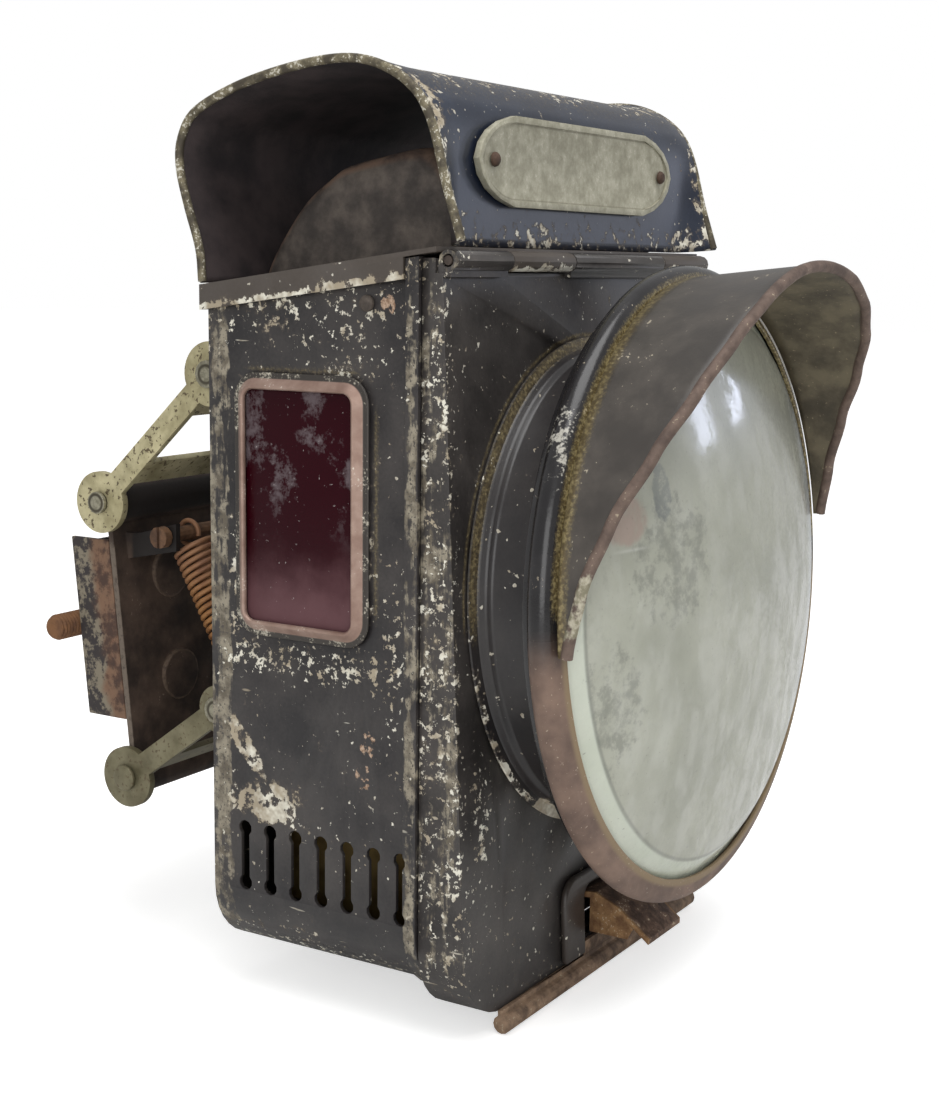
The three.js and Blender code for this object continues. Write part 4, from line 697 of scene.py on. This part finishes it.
def bezel_metal():
    """Glossy black above, with a pale patch on the bead that is worn metal and a painted highlight in one,
    and worn to a rusty brown on the lower half of the cone.
    """
    f = Finish("bezel_metal")
    away, out, tall = barrel_masks(f)
    patches = f.noise(9, 5, 0.6, 13)
    grit = f.noise(0.7, 3, 0.6, 4)
    black = f.blend((patches * 1.5 - 0.6) * 0.4, (0.012, 0.011, 0.012), (0.08, 0.075, 0.075))
    chips = (patches * 0.5 + grit * 0.5).over(0.625, 0.015)
    black = f.blend(chips, black, (0.32, 0.27, 0.2))
    # A pale patch on the bead's left: worn metal and a painted highlight in one.
    worn_and_highlight = f.spot((f.x, -53.5), (tall, 28), 7, 17) * away.over(61.2, 0.6)
    black = f.blend((worn_and_highlight * 0.3 + patches * 0.6 + grit * 0.3).over(0.8, 0.03), black, (0.42, 0.4, 0.35))
    rust = f.blend(patches.over(0.5, 0.22), (0.105, 0.066, 0.05), (0.22, 0.145, 0.108))
    rust = f.blend(1 - away.over(59.2, 0.5), rust, (0.23, 0.165, 0.095))
    rust = f.blend(grit.over(0.68, 0.03), rust, (0.36, 0.29, 0.22))
    bared = (1 - tall.over(-3, 5)) * out.over(20.2, 0.4)
    colour, _ = f.dusted(f.blend(bared, black, rust), grit, out.over(24.4, 0.8) * tall.over(2, 4))
    rough = 0.17 + patches * 0.08 + bared * 0.4 + chips * 0.25
    return f.set(grit * 0.5 + patches * 0.3, 0.05, Base_Color=colour, Roughness=rough)


bezel_outline = [(59.2, 18.2), (60.0, 18.2), (60.2, 18.5)]
for angle in (math.radians(-84 + 12 * k) for k in range(15)):
    bezel_outline.append((60.2 + 2.6 * math.cos(angle), 22.2 + 2.6 * math.sin(angle)))
bezel_outline += [(60.1, 24.95), (59.8, 25.1), (58.4, 25.68), (58.1, 25.72), (57.85, 25.55), (57.83, 24.95),
                  (58.2, 24.72), (59.2, 24.28)]
show("bezel_spun", spun_on_door(bezel_outline, 144), "door", bezel_metal(), ["bezel"], 40)


def lens_glass():
    """Hazy glass with smears, dark blotches, a pale streak and a clearer bevel, a painted reddish glow of the
    ruby pane's light and a painted bluish white reflection along the right edge.
    """
    f = Finish("lens_glass")
    away, _, tall = barrel_masks(f)
    clouds = f.noise(26, 4, 0.6, 8)
    smears = f.noise(6, 5, 0.65, 2, (1.1, 1, 0.6))
    dots = f.noise(0.8, 3, 0.6, 6)
    bevel = away.over(54.0, 0.35)
    haze = f.blend(clouds.over(0.5, 0.25), (0.40, 0.41, 0.335), (0.56, 0.57, 0.475))
    haze = f.blend(smears.over(0.57, 0.1) * 0.22, haze, (0.71, 0.72, 0.64))
    blots = f.noise(3, 5, 0.7, 205)
    haze = f.blend((clouds * 0.4 + blots * 0.6).over(0.6, 0.06) * 0.2, haze, (0.2, 0.21, 0.165))
    dark = f.spot((f.x, -29), (tall, 9), 13, 13).most(f.spot((f.x, -47), (tall, -16), 9, 14))
    haze = f.blend((dark * 0.22 + blots * 0.78).over(0.61, 0.08) * 0.45, haze, (0.17, 0.175, 0.15))
    bluish = f.spot((f.x, -31), (tall, 22), 3, 6)
    haze = f.blend((bluish * 0.3 + blots * 0.7).over(0.6, 0.06) * 0.5, haze, (0.13, 0.15, 0.17))
    # The reddish patch is a painted glow: the ruby pane's light, seen through the glass.
    red = f.spot((f.x, -42), (tall, 18), 6.5, 5)
    haze = f.blend((red * 0.3 + smears * 0.7).over(0.6, 0.1) * 0.55, haze, (0.47, 0.26, 0.21))
    haze = f.blend(f.x.near(-41, 4, 2) * tall.near(12.6, 0.2, 0.35) * smears * 0.8, haze, (0.9, 0.9, 0.85))
    edge = f.blend(clouds.over(0.45, 0.3), (0.62, 0.68, 0.55), (0.78, 0.82, 0.7))
    colour = f.blend(bevel, haze, edge)
    # A painted reflection: a bluish white band along the right edge, where a window is mirrored.
    right = f.x.over(40, 7) * away.over(48, 4)
    colour = f.blend(right * 0.6, colour, (0.74, 0.79, 0.84))
    colour = f.blend(away.near(53.8, 0.35, 0.3) * 0.55, colour, (0.2, 0.21, 0.18))
    colour = f.blend(dots.over(0.7, 0.02) * 0.5, colour, (0.2, 0.18, 0.14))
    rough = 0.2 + clouds * 0.12 + smears * 0.12 + bevel * 0.1
    shine = (smears * 0.7 + dots * 0.3).over(0.49, 0.1) * 0.9
    return f.set(dots * 0.3 + smears * 0.5, 0.015, Base_Color=colour, Roughness=rough,
                 Transmission_Weight=0.3, IOR=1.5, Coat_Weight=shine, Coat_Roughness=0.1)


bull_radius, bull_foot, bull_rise = 54.1, 27.03, 8
lens_outline = [(0, 22.93), (58.4, 22.93), (58.6, 23.1), (58.6, 23.93), (57.7, 24.34), (57.3, 24.55),
                (54.4, 26.8), (53.9, 27.08)]
for share in (1 - k / 18 for k in range(1, 19)):
    lens_outline.append((bull_radius * share, bull_foot + bull_rise * (1 - share ** 2)))
lens = spun_on_door(lens_outline, 128, False)
show("lens_spun", lens, "door", lens_glass(), ["lens"], 40)

# The visor: a strip of sheet rolled round the upper half of the bezel, longest at the top, with a wired
# front edge. Black outside and sooty olive inside; the edge is rusty with a pale patch of solder.
visor_reach = [(88, 2.6), (77, 5.6), (66, 10.2), (55, 15.9), (44, 20.7), (33, 23.8), (22, 25.3), (11, 25.6),
               (0, 25.3)]
visor_half, visor_radius, visor_start, visor_flare, visor_turn = 88, 60.6, 25.35, 1.5, 5.5
longest_reach = max(reach for angle, reach in visor_reach)


def reach_at(angle):
    """How far the visor stands out at an angle from its middle, in millimetres."""
    angle = abs(angle)
    for (a, reach_a), (b, reach_b) in zip(visor_reach, visor_reach[1:]):
        if b <= angle <= a:
            share = (angle - b) / (a - b)
            share = share * share * (3 - 2 * share) * 0.35 + share * 0.65
            return reach_b + (reach_a - reach_b) * share
    return visor_reach[0][1]


def round_axis(angle, radius, out):
    """A place in metres, by its angle from straight up, its radius and its distance from the door."""
    return Vector((radius * math.sin(angle), -out, radius * math.cos(angle))) / 1000


lip = []
visor = bmesh.new()
rows = [[] for _ in range(9)]
for step in range(97):
    angle = visor_half * (step / 48 - 1)
    reach = reach_at(angle)
    flare = visor_flare * reach / longest_reach
    turned = math.radians(angle - visor_turn)
    for k, row in enumerate(rows):
        place = round_axis(turned, visor_radius + flare * k / 8, visor_start + (reach - 1.0) * k / 8)
        row.append(visor.verts.new(place))
    lip.append(round_axis(turned, visor_radius - sheet_wall / 2 + flare, visor_start - 1.1 + reach))
bridge(visor, rows)
bmesh.ops.recalc_face_normals(visor, faces=visor.faces)
if sum(face.normal.dot(face.calc_center_median() * Vector((1, 0, 1))) for face in visor.faces) < 0:
    bmesh.ops.reverse_faces(visor, faces=visor.faces)


def visor_metal():
    """Dull black, chipped, with dust where the sheet meets the bezel."""
    f = Finish("visor_metal")
    _, out, _ = barrel_masks(f)
    patches = f.noise(8, 5, 0.6, 33)
    grit = f.noise(0.8, 4, 0.6, 44)
    black = f.blend((patches * 1.4 - 0.4).over(0.35, 0.3), (0.045, 0.039, 0.034), (0.08, 0.069, 0.059))
    black = f.blend((patches * 0.45 + grit * 0.55).over(0.635, 0.015), black, (0.42, 0.37, 0.28))
    colour, _ = f.dusted(black, grit, 1 - out.over(27.6, 2.4))
    return f.set(grit * 0.5 + patches * 0.3, 0.06, Base_Color=colour, Roughness=0.3 + patches * 0.3)


def visor_inside():
    """Sooty olive with pale specks."""
    f = Finish("visor_inside_metal")
    patches = f.noise(8, 5, 0.6, 33)
    grit = f.noise(0.8, 4, 0.6, 44)
    olive = f.blend(patches.over(0.5, 0.2), (0.052, 0.042, 0.027), (0.15, 0.125, 0.08))
    olive = f.blend(grit.over(0.68, 0.03), olive, (0.25, 0.2, 0.13))
    return f.set(grit, 0.05, Base_Color=olive, Roughness=0.55 + patches * 0.3)


visor_piece = show("visor_sheet", onto_door(visor), "door", visor_metal(), ["visor"], 60)
thicken(visor_piece, visor_inside())


def lip_metal():
    """Rusty steel with lumpy pale solder on the left."""
    f = Finish("visor_lip_metal")
    scale = f.noise(4, 6, 0.65, 20)
    grit = f.noise(0.6, 3, 0.6, 9)
    colour = f.blend(scale.over(0.5, 0.2), (0.095, 0.066, 0.054), (0.19, 0.135, 0.108))
    colour = f.blend((grit * 0.5 + scale * 0.5).over(0.62, 0.02), colour, (0.4, 0.33, 0.24))
    solder = (1 - f.x.over(-52, 2)) * f.z.near(88.5, 8, 4)
    solder = (solder * 0.55 + scale * 0.9).over(0.97, 0.05)
    lumps = f.noise(1.6, 4, 0.6, 70)
    pale = f.blend(lumps.over(0.5, 0.1), (0.24, 0.22, 0.15), (0.5, 0.46, 0.36))
    colour = f.blend(solder, colour, pale)
    relief = scale * 0.6 + grit * 0.5 + solder * lumps * 2.5
    return f.set(relief, 0.12, Base_Color=colour, Roughness=0.6 + grit * 0.3, Metallic=0.25)


roll = bmesh.new()
add_wire(roll, lip, 1.1)
show("visor_lip", onto_door(roll), "door", lip_metal(), [], 60)

# The catch: a sprung steel tongue with a folded thumb piece that comes out through the door. Its cheeks
# are orange with rust and its top is rubbed dark.
def catch_metal():
    """Rust that is orange on the cheeks and dark on top."""
    f = Finish("catch_metal")
    scale = f.noise(3, 6, 0.66, 50)
    grit = f.noise(0.5, 3, 0.6, 3)
    cheek = f.aside().over(7.0, 0.3)
    rust = f.blend(scale.over(0.5, 0.15), (0.15, 0.075, 0.035), (0.33, 0.19, 0.085))
    top = f.blend(scale.over(0.52, 0.15), (0.06, 0.035, 0.024), (0.2, 0.12, 0.08))
    colour = f.blend(cheek, top, rust)
    colour = f.blend((scale * 0.5 + grit * 0.5).over(0.6, 0.02), colour, (0.5, 0.4, 0.28))
    return f.set(scale * 0.7 + grit * 0.4, 0.1, Base_Color=colour, Roughness=0.55 + grit * 0.3, Metallic=0.3)


dress("catch", "catch_tab", catch_metal(), 0.35, 3)

# The link bracket's arms: stamped steel with round ends, nickel plated, gone dull and flecked with dark
# specks, swinging on steel pins that are peened over at both ends.
upper_front, upper_rear = (32.55, 123.4), (62.75, 95.3)
lower_front, lower_rear = (31.25, 55), (56.65, 36.6)


def nickel(name, level, seed=0):
    """Dull nickel plate at a level of brightness."""
    f = Finish(name)
    patches = f.noise(6, 5, 0.6, seed)
    specks = f.noise(1.1, 3, 0.6, 19 + seed)
    low, high = (tuple(level * v for v in c) for c in ((0.28, 0.245, 0.135), (0.52, 0.47, 0.29)))
    colour = f.blend(patches.over(0.5, 0.2), low, high)
    colour = f.blend(specks.over(0.615, 0.03), colour, (0.12, 0.09, 0.05))
    return f.set(specks * 0.3, 0.03, Base_Color=colour, Roughness=0.42 + patches * 0.2, Metallic=0.4)


def pin_metal(name, pivot):
    """A peened pin end: a small bright knob in a dark ring of painted shade, for a recess round the knob."""
    f = Finish(name)
    away = (f.y - pivot[0]).radius_with(f.z - pivot[1])
    grit = f.noise(0.8, 3, 0.6, 5)
    metal = f.blend(grit.over(0.5, 0.15), (0.2, 0.185, 0.13), (0.34, 0.32, 0.24))
    # The dark ring is painted shade, for the recess round the knob.
    colour = f.blend(away.near(1.75, 0.3, 0.2), metal, (0.07, 0.06, 0.04))
    return f.set(grit, 0.04, Base_Color=colour, Roughness=0.35 + grit * 0.2, Metallic=0.5)


def round_ends(bm, *ends):
    """Smooths an arm's round ends, each given as the pivot at its middle and its radius in millimetres."""
    for pivot, radius in ends:
        hub = Vector(pivot) / 1000
        on_rim = {v for v in bm.verts if abs((v.co.yz - hub).length - radius / 1000) < 4e-5}
        rim = [edge for edge in bm.edges if on_rim.issuperset(edge.verts)
               and abs(edge.verts[0].co.x - edge.verts[1].co.x) < 1e-6]
        made = bmesh.ops.subdivide_edges(bm, edges=rim, cuts=3)["geom_inner"]
        for vert in (v for v in made if isinstance(v, bmesh.types.BMVert)):
            vert.co.yz = hub + (vert.co.yz - hub).normalized() * radius / 1000


dress("upper_link", "upper_arms", nickel("upper_link_nickel", 1.15), 0.3,
      shape=lambda bm: round_ends(bm, (upper_front, 6.5), (upper_rear, 6.5)))
dress("lower_link", "lower_arms", nickel("lower_link_nickel", 0.45, 60), 0.3,
      shape=lambda bm: round_ends(bm, (lower_front, 5), (lower_rear, 6.5)))
for pin, body, pivot in (("upper_front_pin", "lamp_body", upper_front),
                         ("lower_front_pin", "lamp_body", lower_front),
                         ("upper_rear_pin", "upper_arms", upper_rear)):
    dress(pin, body, pin_metal(pin + "_metal", pivot), 0.35)
dress("lower_rear_pin", "clamp", nickel("lower_rear_pin_metal", 0.4, 60), 0.35)

# The bracket's plates: steel sheet with rolled knuckles, once black and now brown-black, one on the case's
# back and one that hangs from the arms with the clamp box behind it, rubbed and rusted on its sides.
def sooty(name, marks=None):
    """Brown-black old enamel; marks, where given, add a plate's own marks and any painted shade to its
    colour.
    """
    f = Finish(name)
    patches = f.noise(8, 5, 0.6, 27)
    grit = f.noise(0.8, 4, 0.6, 37)
    colour = f.blend(patches.over(0.5, 0.2), (0.026, 0.019, 0.016), (0.085, 0.058, 0.044))
    colour = f.blend((patches * 0.4 + grit * 0.6).over(0.64, 0.03), colour, (0.17, 0.13, 0.1))
    if marks:
        colour = marks(f, colour, patches, grit)
    return f.set(patches * 0.4 + grit * 0.5, 0.08, Base_Color=colour, Roughness=0.5 + grit * 0.25,
                 Specular_IOR_Level=0.25)


def plate_marks(f, colour, patches, grit):
    """Rubbed rims round the embossed rounds, pale side edges, and ears darkened with painted shade."""
    upper, lower = ((f.aside() - 26.5).radius_with(f.z - z).near(5.4, 0.4, 0.3) for z in (78.3, 55.7))
    colour = f.blend((upper.most(lower) * 0.5 + grit * 0.5).over(0.72, 0.1), colour, (0.12, 0.085, 0.062))
    edge = f.aside().over(42.7, 0.2) * (1 - f.z.over(88, 3))
    colour = f.blend((edge * 0.6 + grit * 0.5).over(0.78, 0.1), colour, (0.15, 0.12, 0.095))
    # The ears are made near black: painted shade.
    shaded_ears = (1 - f.y.over(59.2, 0.6)) * f.z.over(80, 1)
    return f.blend(shaded_ears, colour, (0.016, 0.013, 0.012))


def box_marks(f, colour, patches, grit):
    """The side of the clamp box, mottled drab and black, rusty towards the front."""
    mottle = f.noise(3.4, 5, 0.62, 204)
    flank = f.aside().over(42.2, 0.5)
    front = (f.y - f.z * 0.104) + patches * 9
    side = f.blend((mottle * 0.7 + grit * 0.3).over(0.5, 0.04), (0.042, 0.036, 0.036), (0.22, 0.19, 0.14))
    red = f.blend(mottle.over(0.5, 0.12), (0.075, 0.042, 0.03), (0.19, 0.095, 0.055))
    side = f.blend((1 - front.over(63, 1.5)) * 0.8, side, red)
    return f.blend(flank, colour, side)


dress("wall_plate", "lamp_body", sooty("wall_plate_enamel"), 0.25)
dress("rear_plate", "clamp", sooty("rear_plate_enamel", plate_marks), 0.3, 3)
dress("clamp_box", "clamp", sooty("clamp_box_enamel", box_marks), 0.3, 3)
clamp_rust = rusted("clamp_rust", (0.22, 0.115, 0.058), (0.075, 0.04, 0.025), seed=7)
dress("anchor_rod", "clamp", clamp_rust, 0.35, 3)
paint(clamp_rust, "clamp_nut", "clamp_jaw")

# The clamp bolt: a quarter-inch steel bolt, orange with rust. It goes through both sides of the clamp box,
# and its thread shows at the left end.
thread_start, thread_pitch = -47.1, 0.9
bolt_outline = [(0, -47.8), (2.2, -47.8), (2.5, -47.4)]
for x in (thread_start + k * thread_pitch for k in range(13)):
    bolt_outline += [(2.45, x), (2.8, x + 0.35), (2.8, x + 0.55)]
bolt_outline += [(2.8, 34.2), (2.5, 34.6), (0, 34.6)]
bolt = spun([Vector((x, 0, r)) / 1000 for r, x in bolt_outline], (1, 0, 0), 28)
bolt.transform(Matrix.Translation((0, 0.07415, 0.0675)))
bolt_rust = rusted("bolt_rust", (0.22, 0.105, 0.045), (0.1, 0.046, 0.025), seed=3)
show("clamp_bolt_threaded", bolt, "clamp", bolt_rust, ["clamp_bolt"], 40)

# The springs: tension coils of steel wire, orange with rust. Their hooks are bent round the rod above and the
# front pin of the lower arms below.
def spring_places(x):
    """The middle line of a spring at a place across the lamp: the upper hook, the coils, the lower hook."""
    rod = Vector((x, 49.95, 88.4))
    pin = Vector((x, *lower_front))
    span = (pin - rod).length
    down = (pin - rod).normalized()
    side = Vector((0, -down.z, down.y))
    across = Vector((1, 0, 0))
    upper_hook, lower_hook, coil_radius, coils, steps = 2.6, 2.8, 4.45, 23, 20
    hook_angles = [310 * k / 18 for k in range(19)]
    places = []
    for angle in (math.radians(310 - a) for a in hook_angles):
        places.append(rod + (down * math.cos(angle) + side * math.sin(angle)) * upper_hook)
    last = coils * steps
    for k in range(last + 1):
        angle = math.tau * k / steps
        radius = upper_hook + (coil_radius - upper_hook) * min(1, k / 10, (last - k) / 10)
        along = upper_hook + (span - 2 * upper_hook) * k / last
        places.append(rod + down * along + (side * math.cos(angle) + across * math.sin(angle)) * radius)
    for angle in (math.radians(180 - a) for a in hook_angles):
        places.append(pin + (down * math.cos(angle) + side * math.sin(angle)) * lower_hook)
    return [place / 1000 for place in places]


def spring_rust():
    """Orange rust, duller near the upper hook."""
    f = Finish("spring_rust")
    scale = f.noise(4, 5, 0.62, 12)
    grit = f.noise(0.5, 3, 0.6, 2)
    colour = f.blend(scale.over(0.5, 0.2), (0.22, 0.09, 0.03), (0.43, 0.215, 0.075))
    colour = f.blend(f.z.over(78, 8) * 0.5, colour, (0.22, 0.12, 0.09))
    return f.set(grit, 0.05, Base_Color=colour, Roughness=0.5 + grit * 0.2, Metallic=0.3)


spring_metal = spring_rust()
for side, x in (("left", -31.5), ("right", 31.5)):
    coil = bmesh.new()
    add_wire(coil, spring_places(x), 0.55, 2)
    show("spring_wire_" + side, coil, "lamp_body", spring_metal, ["spring_" + side], 60)

# The works inside: a brass fount and burner with a cotton wick and its winder, a silvered reflector behind
# the flame, and the small steel bracket on the floor that the catch turns on.
def works_brass():
    """Dull old brass with darker patches."""
    f = Finish("works_brass")
    patches = f.noise(10, 4, 0.6, 15)
    colour = f.blend(patches.over(0.5, 0.2), (0.13, 0.085, 0.03), (0.3, 0.21, 0.08))
    return f.set(patches, 0.02, Base_Color=colour, Roughness=0.38 + patches * 0.2, Metallic=0.8)


def wick_cotton():
    """Woven cotton, burnt black at the top."""
    f = Finish("wick_cotton")
    weave = f.noise(0.5, 2, 0.5, 5, (1, 1, 0.3))
    burnt = f.z.over(63, 1)
    colour = f.blend(burnt, f.blend(weave, (0.5, 0.45, 0.34), (0.66, 0.6, 0.48)), (0.02, 0.018, 0.015))
    return f.set(weave, 0.2, Base_Color=colour, Roughness=0.9)


def reflector_silver():
    """Old silvering with brown stains."""
    f = Finish("reflector_silver")
    stains = f.noise(7, 5, 0.62, 25)
    colour = f.blend(stains.over(0.5, 0.2), (0.62, 0.61, 0.57), (0.32, 0.29, 0.22))
    return f.set(stains, 0.02, Base_Color=colour, Roughness=0.25 + stains * 0.3, Metallic=0.9)


paint(works_brass(), "fount", "filler_cap", "burner", "wick_winder")
paint(wick_cotton(), "wick")
paint(reflector_silver(), "reflector")
paint(rusted("catch_bracket_rust", seed=5), "catch_bracket")

# The table: a pale matt sheet under the lamp, which runs out of sight on every side. It looks white to the
# camera and keeps the lamp's shadow.
table = bmesh.new()
bmesh.ops.create_grid(table, x_segments=2, y_segments=2, size=4.0)
bmesh.ops.translate(table, verts=table.verts, vec=(0, 0, -0.0002))
table_mesh = bpy.data.meshes.new("table")
table.to_mesh(table_mesh)
table.free()
paper = Finish("table_paper")
seen = paper.add("ShaderNodeLightPath", {}, {}, "Is Camera Ray")
glow = paper.blend(seen, (0, 0, 0), (1, 1, 1))
paper.set(Base_Color=(0.82, 0.82, 0.81), Roughness=0.9, Emission_Color=glow, Emission_Strength=0.58)
table_mesh.materials.append(paper.material)
table_piece = bpy.data.objects.new("table", table_mesh)
bpy.context.scene.collection.objects.link(table_piece)
